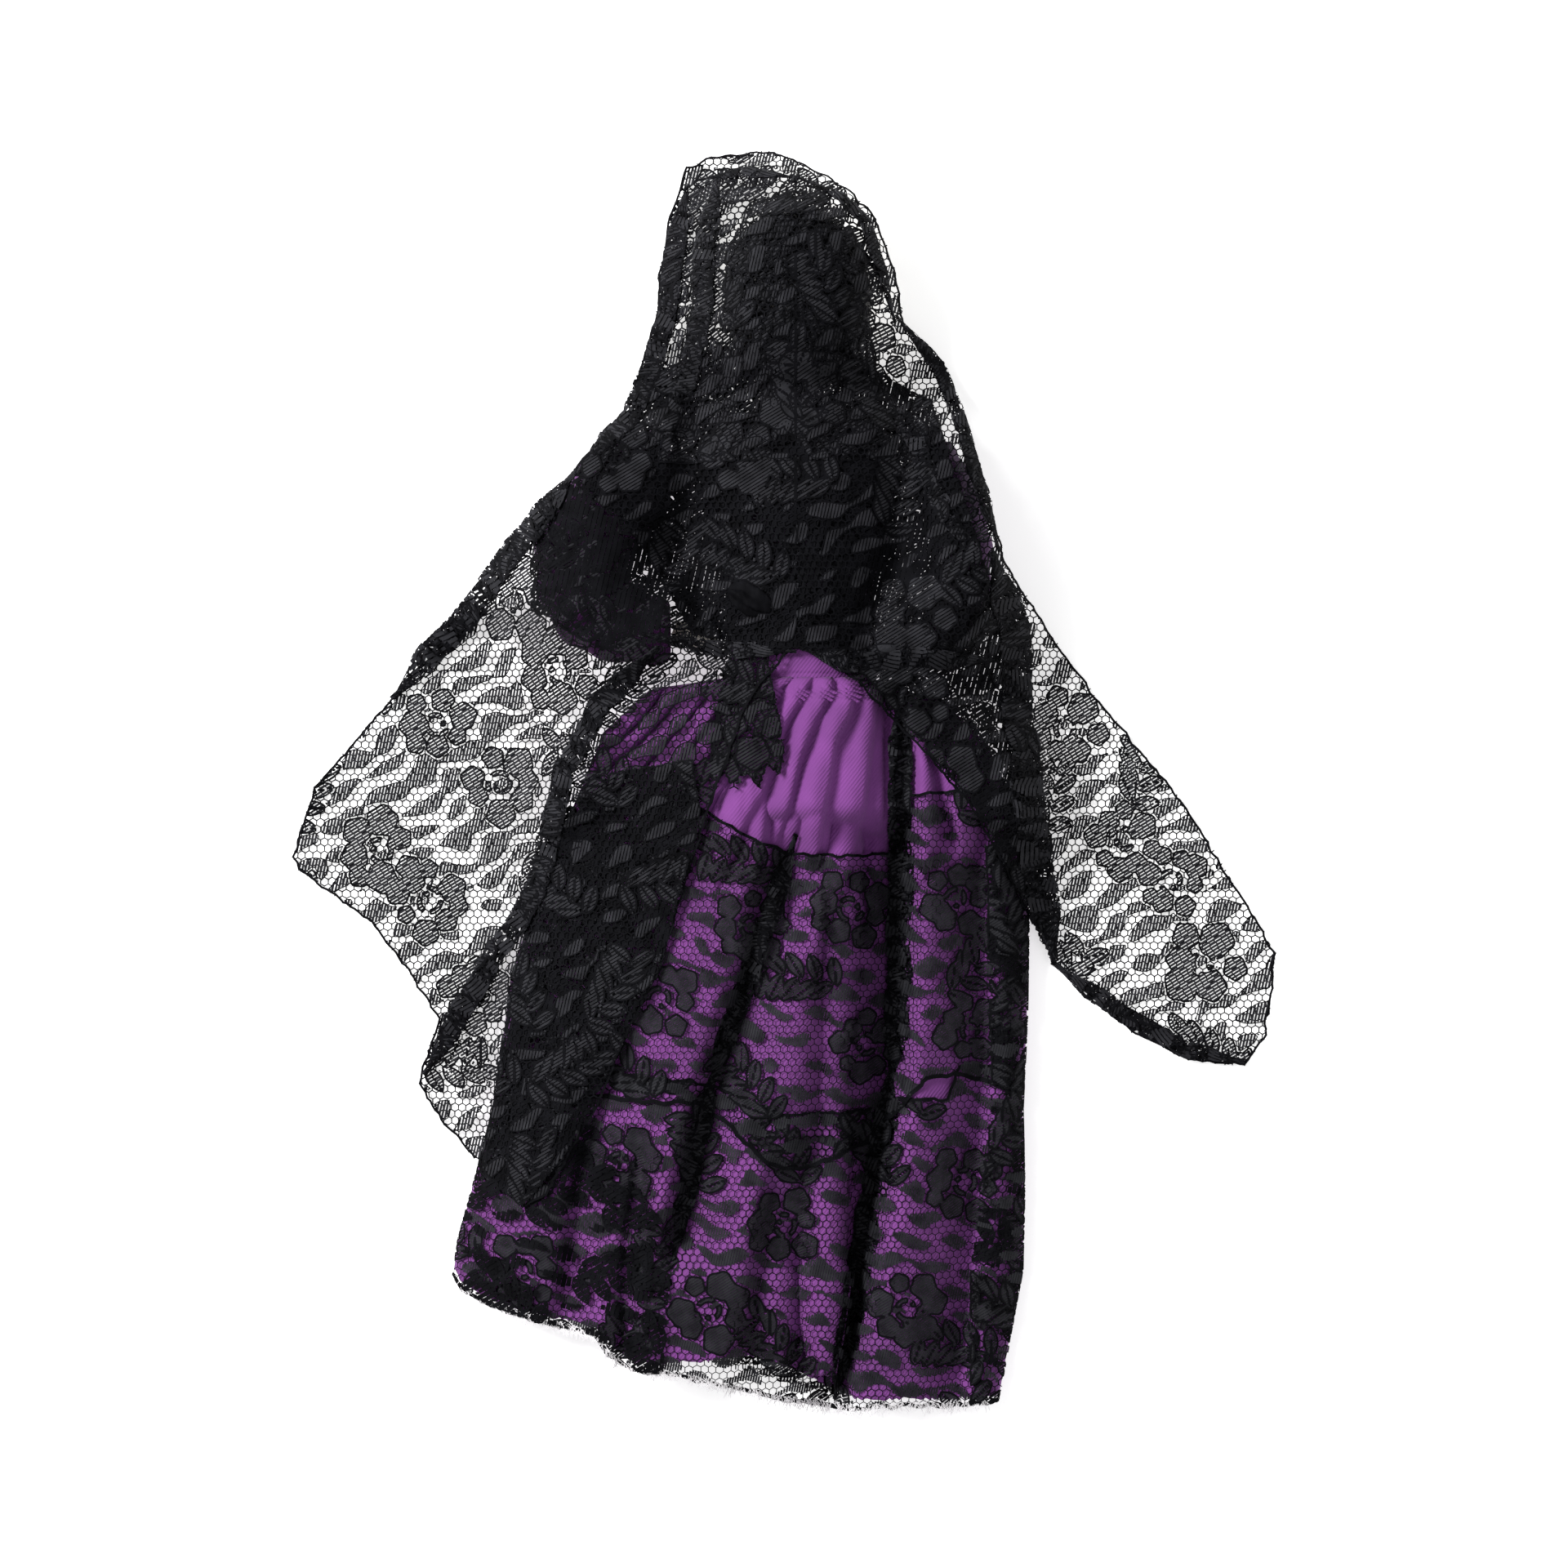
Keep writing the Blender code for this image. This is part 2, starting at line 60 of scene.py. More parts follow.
# Edges of the skirt from the waist to the hem, as (y, x)
SKIRT_LEFT = [(25.5, -13), (23, -32), (12, -44), (-8, -52), (-28, -61), (-48, -67), (-78, -71),
              (-96, -75.5), (-112, -80), (-122, -81.5)]
SKIRT_RIGHT = [(25.5, 20), (20, 39), (10, 49), (-8, 57.5), (-34, 60), (-58, 59.5), (-80, 58.5),
               (-100, 59), (-120, 58.5), (-152, 52.5)]
HEM = [(-81.5, -121), (-79, -124.5), (-72, -128), (-60, -131.5), (-46, -134.5), (-42, -140), (-37, -143),
       (-26, -144), (-12, -147.5), (0, -151), (12, -153.5), (30, -152), (40, -153), (52.5, -152)]


def lerp_table(table, value):
    """Linear reading of a table of (key, value) pairs whose keys go down."""
    keys = [-k for k, _ in table]
    return np.interp(-np.asarray(value, float), keys, [v for _, v in table])


def inside(x, y, outline):
    """Boolean array: which points lie in a closed outline."""
    result = np.zeros(np.shape(x), bool)
    for (ax, ay), (bx, by) in zip(outline, outline[1:] + outline[:1]):
        crosses = (ay > y) != (by > y)
        with np.errstate(divide="ignore", invalid="ignore"):
            at = ax + (bx - ax) * (y - ay) / ((by - ay) or 1e-9)
        result ^= crosses & (x < at)
    return result


def smoothstep(value, low, high):
    t = np.clip((value - low) / (high - low), 0, 1)
    return t * t * (3 - 2 * t)


def waves(x, y, seed, pitch, octaves=3):
    """Smooth irregular field from -1 to 1, the same on every run."""
    rng = np.random.default_rng(seed)
    total = np.zeros(np.broadcast(x, y).shape)
    for octave in range(octaves):
        scale = pitch / 1.9 ** octave
        for _ in range(4):
            angle = rng.uniform(0, math.pi)
            phase = rng.uniform(0, 2 * math.pi)
            along = x * math.cos(angle) + y * math.sin(angle)
            across = y * math.cos(angle) - x * math.sin(angle)
            bend = 0.8 * np.sin(2 * math.pi * across / (2.3 * scale) + phase * 1.7)
            total += np.sin(2 * math.pi * along / scale + phase + bend) / 4 / 1.6 ** octave
    return total / 1.6


# ---------------------------------------------------------------- meshes and materials
def mesh_object(name, verts, faces, smooth=True):
    """Mesh object from millimetre points and faces of one size."""
    verts = np.asarray(verts, np.float32) * MM
    faces = np.asarray(faces, np.int32)
    mesh = bpy.data.meshes.new(name)
    mesh.vertices.add(len(verts))
    mesh.vertices.foreach_set("co", verts.ravel())
    mesh.loops.add(faces.size)
    mesh.loops.foreach_set("vertex_index", faces.ravel())
    mesh.polygons.add(len(faces))
    mesh.polygons.foreach_set("loop_start", np.arange(0, faces.size, faces.shape[1], dtype=np.int32))
    mesh.polygons.foreach_set("loop_total", np.full(len(faces), faces.shape[1], np.int32))
    mesh.polygons.foreach_set("use_smooth", np.full(len(faces), smooth))
    mesh.update(calc_edges=True)
    obj = bpy.data.objects.new(name, mesh)
    bpy.context.scene.collection.objects.link(obj)
    return obj


def grid_faces(rows, columns, wrap=False):
    last = columns if wrap else columns - 1
    r, c = np.meshgrid(np.arange(rows - 1), np.arange(last), indexing="ij")
    d = (c + 1) % columns
    faces = np.stack([r * columns + c, r * columns + d, (r + 1) * columns + d, (r + 1) * columns + c], -1)
    return faces.reshape(-1, 4)


def thicken(obj, thickness, offset=-1.0):
    modifier = obj.modifiers.new("thickness", "SOLIDIFY")
    modifier.thickness = thickness * MM
    modifier.offset = offset


def node_material(name, base, roughness, metallic=0.0):
    """New material and its node tree, with a Principled shader set to plain values."""
    material = bpy.data.materials.new(name)
    material.use_nodes = True
    tree = material.node_tree
    shader = tree.nodes["Principled BSDF"]
    shader.inputs["Base Color"].default_value = (*base, 1)
    shader.inputs["Roughness"].default_value = roughness
    shader.inputs["Metallic"].default_value = metallic
    return material, tree, shader


def mottled(name, dark, light, roughness, scale, bump=0.0, metallic=0.0, detail=6.0, sheen=0.0,
            specular=0.5):
    """Colour that drifts between two shades over noise, with a fine bump."""
    material, tree, shader = node_material(name, light, roughness, metallic)
    nodes, links = tree.nodes, tree.links
    coords = nodes.new("ShaderNodeTexCoord")
    noise = nodes.new("ShaderNodeTexNoise")
    noise.inputs["Scale"].default_value = scale
    noise.inputs["Detail"].default_value = detail
    ramp = nodes.new("ShaderNodeValToRGB")
    ramp.color_ramp.elements[0].color = (*dark, 1)
    ramp.color_ramp.elements[0].position = 0.32
    ramp.color_ramp.elements[1].color = (*light, 1)
    ramp.color_ramp.elements[1].position = 0.68
    links.new(coords.outputs["Object"], noise.inputs["Vector"])
    links.new(noise.outputs["Fac"], ramp.inputs["Fac"])
    links.new(ramp.outputs["Color"], shader.inputs["Base Color"])
    shader.inputs["Sheen Weight"].default_value = sheen
    shader.inputs["Specular IOR Level"].default_value = specular
    if bump:
        relief = nodes.new("ShaderNodeBump")
        relief.inputs["Strength"].default_value = bump
        relief.inputs["Distance"].default_value = 0.0004
        links.new(noise.outputs["Fac"], relief.inputs["Height"])
        links.new(relief.outputs["Normal"], shader.inputs["Normal"])
    return material


def twill_cotton(name, dark, light):
    """Purple cotton with a fine diagonal twill and cloudy wear."""
    material = mottled(name, dark, light, 0.88, 90, sheen=0.05, specular=0.25)
    nodes, links = material.node_tree.nodes, material.node_tree.links
    shader = nodes["Principled BSDF"]
    coords = nodes["Texture Coordinate"]
    turn = nodes.new("ShaderNodeMapping")
    turn.inputs["Rotation"].default_value = (0, 0, math.radians(38))
    rib = nodes.new("ShaderNodeTexWave")
    rib.inputs["Scale"].default_value = 430
    rib.inputs["Distortion"].default_value = 1.2
    rib.inputs["Detail"].default_value = 2
    relief = nodes.new("ShaderNodeBump")
    relief.inputs["Strength"].default_value = 0.35
    relief.inputs["Distance"].default_value = 0.00025
    links.new(coords.outputs["Object"], turn.inputs["Vector"])
    links.new(turn.outputs["Vector"], rib.inputs["Vector"])
    links.new(rib.outputs["Fac"], relief.inputs["Height"])
    links.new(relief.outputs["Normal"], shader.inputs["Normal"])
    return material


def dress(obj, material, plain=None):
    """Give a piece its patterned material, with a plain one on the mesh itself for light exports."""
    if plain is None:
        obj.data.materials.clear()
        obj.data.materials.append(material)
        return
    obj.data.materials.clear()
    obj.data.materials.append(plain)
    obj.material_slots[0].link = "OBJECT"
    obj.material_slots[0].material = material


PURPLE_DARK = (0.138, 0.036, 0.172)
PURPLE_LIGHT = (0.186, 0.047, 0.230)
BLACK_DARK = (0.0012, 0.0012, 0.0018)
BLACK_LIGHT = (0.0045, 0.0045, 0.0060)
# Knit of a top layer: greyer than the thread, painted light standing for the sheen and light on the uppermost
# lace
LIT_KNIT_DARK = (0.008, 0.008, 0.0098)
LIT_KNIT_LIGHT = (0.0235, 0.0235, 0.0275)

cotton = twill_cotton("purple_cotton", PURPLE_DARK, PURPLE_LIGHT)
dark_cotton = twill_cotton("blouse_cotton", (0.03, 0.012, 0.04), (0.085, 0.028, 0.105))
thread = mottled("black_lace_thread", BLACK_DARK, BLACK_LIGHT, 0.8, 260, specular=0.06)
lit_knit_look = mottled("black_lace_knit_painted_lit", LIT_KNIT_DARK, LIT_KNIT_LIGHT, 0.8, 260, specular=0.1)
thread_plain = node_material("black_lace_plain", (0.005, 0.005, 0.0065), 0.7)[0]
lit_knit_plain = node_material("black_knit_painted_lit_plain", (0.015, 0.015, 0.018), 0.75)[0]
white_thread = mottled("frayed_thread", (0.55, 0.53, 0.55), (0.8, 0.78, 0.8), 0.9, 300)
hair_look = mottled("hair", (0.006, 0.005, 0.005), (0.03, 0.024, 0.022), 0.45, 500, bump=0.4)
paper_look = mottled("papier_mache", (0.45, 0.38, 0.27), (0.66, 0.58, 0.45), 0.9, 140, bump=0.5)
bone_look = mottled("painted_papier_mache", (0.74, 0.70, 0.60), (0.88, 0.85, 0.78), 0.55, 110, bump=0.25)
boot_look = mottled("boot_paint", (0.012, 0.012, 0.014), (0.035, 0.033, 0.035), 0.4, 90, bump=0.2)
wood_look = mottled("wood", (0.33, 0.2, 0.09), (0.55, 0.37, 0.19), 0.65, 60, bump=0.3)
wire_look = mottled("wire", (0.32, 0.32, 0.33), (0.6, 0.6, 0.6), 0.35, 200, metallic=1.0)

CAD_LOOKS = {
    "skull_face": bone_look, "skull_back": bone_look, "left_hand": bone_look, "right_hand": bone_look,
    "torso_front": paper_look, "torso_back": paper_look, "left_arm": paper_look,
    "right_arm": paper_look, "left_leg": paper_look, "right_leg": paper_look,
    "left_boot": boot_look, "right_boot": boot_look, "spine_dowel": wood_look,
    "hip_block": wood_look, "shoulder_wire": wire_look,
}
for node, look in CAD_LOOKS.items():
    dress(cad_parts[node], look)


# ---------------------------------------------------------------- skirt
def skirt_edges(y):
    return lerp_table(SKIRT_LEFT, y), lerp_table(SKIRT_RIGHT, y)


def groove(x, y, path, width, depth, lean=0.0):
    """Valley fold along a path of (x, y) points running down the skirt."""
    ys = [-p[1] for p in path]
    centre = np.interp(-y, ys, [p[0] for p in path])
    reach = smoothstep(-y, ys[0] - 6, ys[0] + 10) * (1 - smoothstep(-y, ys[-1] - 8, ys[-1] + 6))
    side = (x - centre) / width
    left = np.exp(-(side * (1.0 + lean)) ** 2)
    right = np.exp(-(side * (1.0 - lean)) ** 2)
    return -depth * reach * np.where(side < 0, left, right)


FOLD_A = [(3, -12), (-4, -34), (-12, -56), (-18, -74), (-22, -92), (-27, -116)]
FOLD_B = [(28, 22), (28.4, -16), (28, -44), (27, -68), (23.5, -92), (20, -110), (12, -156)]
# Valley folds of the skirt: path from the top down, half width, depth and lean
FOLDS = [
    (FOLD_A, 5.0, 11.0, 0.45),
    (FOLD_B, 5.2, 19.0, -0.6),
    ([(0.5, 24), (-1, 8), (-4, -16), (-9, -34)], 2.2, 5.5, 0.5),
    ([(15.5, 25), (15, 12), (12.5, -10), (11, -30), (10, -50)], 2.4, 6.0, 0.55),
    ([(8, 25), (7.5, 14), (5, -4), (3, -16)], 1.5, 3.0, 0.4),
    ([(22, 24), (21.5, 10), (20, -10), (19, -26)], 1.7, 3.4, 0.4),
    ([(-12, 24), (-16, 8), (-20, -10)], 2.0, 3.5, 0.3),
    ([(34, 18), (38, 4), (41, -16)], 2.2, 3.5, -0.4),
    ([(-44, -66), (-50, -100), (-54, -134)], 5.0, 5.5, 0.4),
    ([(47, -14), (49, -60), (47, -100), (43, -152)], 4.0, 5.5, -0.5),
    ([(-2, -92), (-6, -120), (-12, -150)], 4.0, 5.5, 0.4),
    ([(12, -40), (10, -80), (4, -110), (-2, -150)], 3.6, 4.0, -0.3),
    ([(-34, -84), (-38, -110), (-40, -144)], 3.0, 4.0, 0.3),
]


def body_height(x, y):
    """Top of the hips, legs and boots that the skirt lies over."""
    hips = 18 + 11.2 * np.sqrt(np.clip(1 - ((x - AXIS_X) / 20.5) ** 2, 0, 1))
    height = hips * smoothstep(y, -20, -5)
    for side in (-1, 1):
        centre = AXIS_X + side * lerp_table([(0, 8.5), (-30, 8.5), (-75, 7), (-145, 6)], y)
        middle = lerp_table([(0, 16), (-30, 14.5), (-75, 12), (-117, 9.5), (-145, 7)], y)
        radius = lerp_table([(0, 6.6), (-30, 6.8), (-75, 5.6), (-117, 4.6), (-122, 6.4), (-132, 5.6),
                             (-145, 3)], y)
        leg = middle + np.sqrt(np.clip(radius ** 2 - (x - centre) ** 2, 0, None))
        height = np.where((np.abs(x - centre) < radius) & (y > -145), np.maximum(height, leg), height)
    return height


def skirt_height(x, y):
    """Height of the outside of the skirt's back above the surface."""
    left, right = skirt_edges(y)
    t = np.clip((x - left) / (right - left), 0, 1)
    arch = np.sin(math.pi * t)
    ridge = lerp_table([(26, 30), (10, 31), (-10, 30.8), (-30, 29), (-80, 25), (-120, 21), (-156, 15)], y)
    edge = lerp_table([(26, 18), (12, 8), (-6, 3.2), (-156, 2.2)], y)
    height = edge + (ridge - edge) * np.maximum(arch, 0) ** 0.62
    for path, width, depth, lean in FOLDS:
        height = height + groove(x, y, path, width, depth, lean)
    gathers = np.exp(-np.clip(25 - y, 0, 200) / 16)
    height = height + 0.5 * gathers * np.sin(2 * math.pi * x / 3.0 + 0.6 * np.sin(x / 5))
    height = height + 0.9 * waves(x, y, 11, 42, 3) * smoothstep(-y, -24, 0)
    return np.maximum(np.maximum(height, body_height(x, y) + 0.8), 1.6) + waist_pleats(x, y)


def waist_pleats(x, y):
    """Rounded pleats with sharp creases between them, fanning out below the waistband."""
    fan = 0.60 + 0.40 * smoothstep(-y, -26, 14)
    turn = (x - 12 - 0.34 * (y - 25)) / fan / 9.6 + 0.3 * waves(x / fan, 0.5 * y, 19, 24, 2)
    crest = smoothstep(turn % 1, 0, 0.7) * (1 - smoothstep(turn % 1, 0.84, 1))
    size = 2.7 + 1.4 * waves(x / fan, 0.3 * y, 18, 17, 2)
    return size * smoothstep(y, -40, -6) * smoothstep(27 - y, 0, 5) * crest


def hem_y(x):
    return np.interp(x, [p[0] for p in HEM], [p[1] for p in HEM])


def make_skirt():
    """Gathered skirt: a flattened tube of cotton from the waistband to the hem."""
    rows, columns = 190, 230
    s = np.linspace(0, 1, rows)[:, None]
    t = np.linspace(0, 1, columns)[None, :]
    hem_x = HEM[0][0] + (HEM[-1][0] - HEM[0][0]) * t
    cloth_hem = hem_y(hem_x) + 1.5 + 7.0 * np.exp(-((hem_x + 6) / 17) ** 2)
    y = 25.5 + (cloth_hem - 25.5) * s
    left, right = skirt_edges(y)
    x = left + (right - left) * t
    z = skirt_height(x, y)
    fuzz = 0.35 * np.sin(x * 2.1 + 3 * np.sin(x * 0.7)) * smoothstep(s, 0.985, 1)
    back = np.stack([x, y + fuzz, z], -1).reshape(-1, 3)
    under = np.stack([x, y, np.maximum(0.95 + 0.25 * waves(x, y, 5, 30), 0.7)
                      + (lerp_table([(26, 5.5), (10, 0)], y))], -1)
    edge_z = z[:, [0, -1]] - 0.9
    blend_in = np.minimum(1, np.minimum(t, 1 - t) * 14)
    rim = np.where(t < 0.5, edge_z[:, :1], edge_z[:, 1:])
    under[..., 2] = under[..., 2] * blend_in + rim * (1 - blend_in)
    cloth = mesh_object("skirt_back_cloth", back, grid_faces(rows, columns))
    thicken(cloth, 0.45)
    dress(cloth, cotton)
    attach(cloth, "figure")
    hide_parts("skirt_back")
    lower = mesh_object("skirt_front_cloth", under.reshape(-1, 3), grid_faces(rows, columns)[:, ::-1])
    thicken(lower, 0.35, offset=1.0)
    dress(lower, cotton)
    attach(lower, "figure")
    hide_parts("skirt_front")
    return cloth


skirt = make_skirt()

# ---------------------------------------------------------------- blouse and hair
TORSO = [(92, 7, 6), (86, 19, 8), (78, 23.5, 10), (62, 21, 10.8), (45, 16, 10.5), (30, 13, 9.5)]


def blouse_body():
    """Blouse round the torso, gathered into the waist, open at neck and waist."""
    rows, columns = 90, 120
    y = np.linspace(92, 33, rows)[:, None]
    angle = np.linspace(0, 2 * math.pi, columns, endpoint=False)[None, :]
    half_width = lerp_table([(a, b) for a, b, _ in TORSO], y) + 1.2
    half_depth = lerp_table([(a, c) for a, _, c in TORSO], y) + 1.2
    gather = np.exp(-np.clip(y - 33, 0, 99) / 14) * 0.7 * np.sin(angle * 34)
    puff = 0.8 * waves(angle * 24, y + 0 * angle, 21, 18) + gather
    x = AXIS_X + (half_width + puff) * np.cos(angle)
    z = BODY_Z + (half_depth + puff) * np.sin(angle)
    points = np.stack([x, y + 0 * x, z], -1).reshape(-1, 3)
    body = mesh_object("blouse", points, grid_faces(rows, columns, wrap=True))
    thicken(body, 0.4)
    dress(body, dark_cotton)
    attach(body, "figure")
    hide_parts("bodice_front", "bodice_back")
    return body


def sleeve(side, elbow_out, width_mid):
    """Puffed sleeve on one bent arm, with creases across the inside of the elbow."""
    prefix = "left" if side < 0 else "right"
    start_x = AXIS_X + side * 29.8
    rows, columns = 110, 72
    a = np.linspace(0, math.pi, rows)[:, None]
    turn = np.linspace(0, 2 * math.pi, columns, endpoint=False)[None, :]
    share = a / math.pi
    bulge = np.sin(a) ** 0.7
    width = 9.2 - 2.7 * share + (width_mid - 9.2 + 2.7 * share) * bulge
    depth = 6.5 + 3.5 * bulge
    creases = 0.55 * np.sin(a * 17 + 1.5 * np.sin(turn * 2)) * (0.4 + 0.6 * np.cos(turn) ** 2)
    creases = creases + 0.8 * waves(a * 20, turn * 7, 31 + side, 16)
    reach = (width + creases) * np.cos(turn)
    low_elbow = 0.55 + 0.75 * share
    x = start_x + side * (1.4 + elbow_out * low_elbow * np.sin(a)) + side * np.sin(a) * reach
    y = 57 + 20 * np.cos(a) + np.cos(a) * reach
    z = BODY_Z + (depth + creases * 0.7) * np.sin(turn)
    points = np.stack([x, y, z], -1).reshape(-1, 3)
    faces = grid_faces(rows, columns, wrap=True)
    cloth = mesh_object(prefix + "_sleeve_cloth", points, faces if side > 0 else faces[:, ::-1])
    thicken(cloth, 0.4)
    dress(cloth, dark_cotton if side > 0 else sleeve_cotton)
    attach(cloth, prefix + "_arm")
    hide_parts(prefix + "_sleeve")
    return cloth


def hair():
    """Hair combed from the brow to the nape over the back of the skull."""
    rows, columns = 120, 90
    along = np.linspace(0.33, math.pi - 0.02, rows)[:, None]
    around = np.linspace(0, math.pi, columns)[None, :]
    strands = 0.22 * np.sin(around * 74 + 2.2 * np.sin(along * 3 + around * 5))
    strands = strands + 0.35 * waves(around * 11, along * 4, 41, 9)
    rx, ry, rz = 16.6 + strands, 21.4 + strands, 17.6 + strands
    x = HEAD[0] + rx * np.sin(along) * np.cos(around)
    y = HEAD[1] - ry * np.cos(along)
    z = HEAD[2] + 0.2 + rz * np.sin(along) * np.sin(around)
    points = np.stack([x, y + 0 * x, z], -1).reshape(-1, 3)
    cap = mesh_object("hair", points, grid_faces(rows, columns))
    thicken(cap, 1.2)
    dress(cap, hair_look)
    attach(cap, "head")
    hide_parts("hair_cap")
    return cap


def waistband():
    """Stitched waistband above the skirt's gathers."""
    rows, columns = 22, 120
    y = np.linspace(32.6, 25.0, rows)[:, None]
    angle = np.linspace(0, 2 * math.pi, columns, endpoint=False)[None, :]
    seam = -0.35 * np.exp(-((y - 26.6) / 0.35) ** 2) - 0.2 * np.exp(-((y - 31.2) / 0.3) ** 2)
    stitch = 0.14 * np.exp(-((y - 27.5) / 0.3) ** 2) * np.sign(np.sin(angle * 60))
    swell = seam + stitch + 0.25 * waves(angle * 18, y + 0 * angle, 51, 12)
    x = AXIS_X + (16.4 + swell) * np.cos(angle)
    z = BODY_Z + (12.0 + swell) * np.sin(angle)
    points = np.stack([x, y + 0 * x, z], -1).reshape(-1, 3)
    band = mesh_object("waistband_cloth", points, grid_faces(rows, columns, wrap=True))
    thicken(band, 0.8)
    dress(band, cotton)
    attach(band, "figure")
    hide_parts("waistband")
    return band


sleeve_cotton = twill_cotton("sleeve_cotton", (0.045, 0.014, 0.055), (0.14, 0.035, 0.17))
supports = [skirt, waistband(), blouse_body(), sleeve(-1, 22.0, 12.0), sleeve(1, 9.0, 7.5), hair()]


# ---------------------------------------------------------------- lace pattern
NET_PITCH = 1.85
NET_WIDTH = 0.29
FLOUNCE_NET_WIDTH = 0.20
FILL_PITCH = 0.76
FILL_WIDTH = 0.52
CORD_WIDTH = 0.45
BAR_CORD = 0.26
KNIT_LIFT = 0.06        # the knit lies this far over the net; quads at this lift are knit and get the lighter knit colour, painted light of the top layer
SHADE_LAYER_LIFT = 0.05      # the same for knit of a layer in the shade of another; at this lift it keeps the dark thread colour as painted shade
SHADE_LAYER_GAP = -1.2       # room between the bars of a layer in painted shade: hardly any


def rose_field(x, y, cx, cy, radius, turn):
    """Positive inside the petals of an open rose: a ring of round petals and a small swirl."""
    dx, dy = x - cx, y - cy
    reach = np.hypot(dx, dy)
    field = np.full(np.shape(x), -9.0)
    petals = 6 + int(turn * 10) % 3
    for k in range(petals):
        a = turn + 2 * math.pi * (k + 0.18 * math.sin(5 * k + turn)) / petals
        grow = 1 + 0.22 * math.sin(2.3 * k + 3 * turn)
        out = radius * (0.66 + 0.08 * math.sin(3 * k + turn))
        px, py = dx - out * math.cos(a), dy - out * math.sin(a)
        along = px * math.cos(a) + py * math.sin(a)
        across = py * math.cos(a) - px * math.sin(a)
        size = radius * 2.0 / petals * grow
        scallop = 0.07 * size * np.cos(np.arctan2(across, along) * 5)
        field = np.maximum(field, size + scallop - np.hypot(along, across))
    angle = np.arctan2(dy, dx) - turn
    swirl = 0.8 - np.abs(reach - radius * (0.14 + 0.16 * ((angle / (2 * math.pi)) % 1.0)) - 0.2)
    swirl = np.where(np.cos(angle * 3) > -0.75, swirl, -1) - 0.25
    field = np.maximum(field, np.where(reach < radius * 0.38, swirl, -9))
    return field


def leaf_field(x, y, cx, cy, turn, length=3.9, width=1.75):
    """Positive inside a pointed leaf, split along its midrib."""
    dx, dy = x - cx, y - cy
    along = dx * math.cos(turn) + dy * math.sin(turn)
    across = dy * math.cos(turn) - dx * math.sin(turn)
    blade = width * (1 - (along / length) ** 2) - np.abs(across - 0.5 * np.sin(along / 3))
    return np.minimum(blade, np.abs(across - 0.5 * np.sin(along / 3)) - 0.16)


ROSES = [(-100, -17), (-70, 0), (-86, 15), (-55, 27), (-88, -29), (-66, 44), (-24, 71), (28, 52), (4, 88),
         (-61, -76), (-45, -36), (-28, -14), (104, -44), (84, -14), (70, 14), (44, 66), (-12, 112),
         (12, 128), (-26, 134), (20, 104), (-52, 60), (-76, -52), (52, -8), (96, -24), (-2, 52)]


def motif_field(x, y, roses, seed):
    """Flowers and leaves: roses where they are named, leaf sprays in the rooms between them."""
    rng = np.random.default_rng(seed)
    field = np.full(np.shape(x), -9.0)

    def add(shape, cx, cy, reach, *size):
        near = (np.abs(x - cx) < reach) & (np.abs(y - cy) < reach)
        if near.any():
            field[near] = np.maximum(field[near], shape(x[near], y[near], cx, cy, *size))

    for cx, cy in roses:
        add(rose_field, cx, cy, 14.0, rng.uniform(9.2, 10.8), rng.uniform(0, 6.3))
    pitch = 23.0
    for row in range(int(np.min(y) // pitch) - 1, int(np.max(y) // pitch) + 2):
        for column in range(int(np.min(x) // pitch) - 1, int(np.max(x) // pitch) + 2):
            room = np.random.default_rng((seed, row + 500, column + 500))
            cx = (column + 0.5 * (row % 2) + room.uniform(-0.2, 0.2)) * pitch
            cy = (row + room.uniform(-0.2, 0.2)) * pitch
            turn = room.uniform(0, math.pi)
            if all(math.hypot(cx - rx, cy - ry) > 15 for rx, ry in roses):
                for k in range(-2, 3):
                    bend = turn + 0.22 * k
                    for side in (-1, 1):
                        lean = bend + side * 0.95
                        add(leaf_field, cx + 4.2 * k * math.cos(turn) + 3.6 * math.cos(lean),
                            cy + 4.2 * k * math.sin(turn) + 3.6 * math.sin(lean), 7.0, lean)
    return field


BAR_PITCH = 6.2
VEIL_SEED = 150         # seeds from here on are the veil's: its rows run aslant, the flounces' run level


def bar_field(x, y, motif, seed, bar_gap):
    """Flame-shaped blobs of denser knit, in staggered rows, that fill the ground between the flowers."""
    turn = 0.0 if seed < VEIL_SEED else 0.75
    x, y = x * math.cos(turn) + y * math.sin(turn), y * math.cos(turn) - x * math.sin(turn)
    bend = 2.6 * waves(x, y, seed, 19, 2) + 1.9 * np.abs((x / 8.5) % 2 - 1)
    row = (y + 0.2 * x + bend) / BAR_PITCH
    along = x / 11.0 + 0.5 * np.floor(row + 0.25) + 0.35 * waves(x, y, seed + 1, 15, 2)
    blob = np.sin(2 * math.pi * row) + 0.75 * np.sin(2 * math.pi * along)
    return np.minimum(blob + 0.9 * waves(x, y, seed + 2, 26, 2) - bar_gap, -motif - 0.7)


def hex_net(low, high, pitch, bend):
    """Edges of a slightly uneven hexagonal net over a box, as pairs of points."""
    side = pitch / math.sqrt(3)
    columns = np.arange(int(low[0] / pitch) - 1, int(high[0] / pitch) + 2)
    rows = np.arange(int(low[1] / (1.5 * side)) - 1, int(high[1] / (1.5 * side)) + 2)
    c, r = np.meshgrid(columns, rows)
    cx = (c + 0.5 * (r % 2)) * pitch
    cy = r * 1.5 * side
    corners = []
    for k in (0, 1, 2, 3):
        a = math.pi / 6 + k * math.pi / 3
        corners.append(np.stack([cx + side * np.cos(a), cy + side * np.sin(a)], -1).reshape(-1, 2))
    segments = np.concatenate([np.stack([corners[k], corners[k + 1]], 1) for k in (0, 1, 2)])
    x, y = segments[..., 0], segments[..., 1]
    shift = np.stack([0.30 * waves(x, y, bend, 11, 2), 0.30 * waves(x, y, bend + 7, 13, 2)], -1)
    return segments + shift


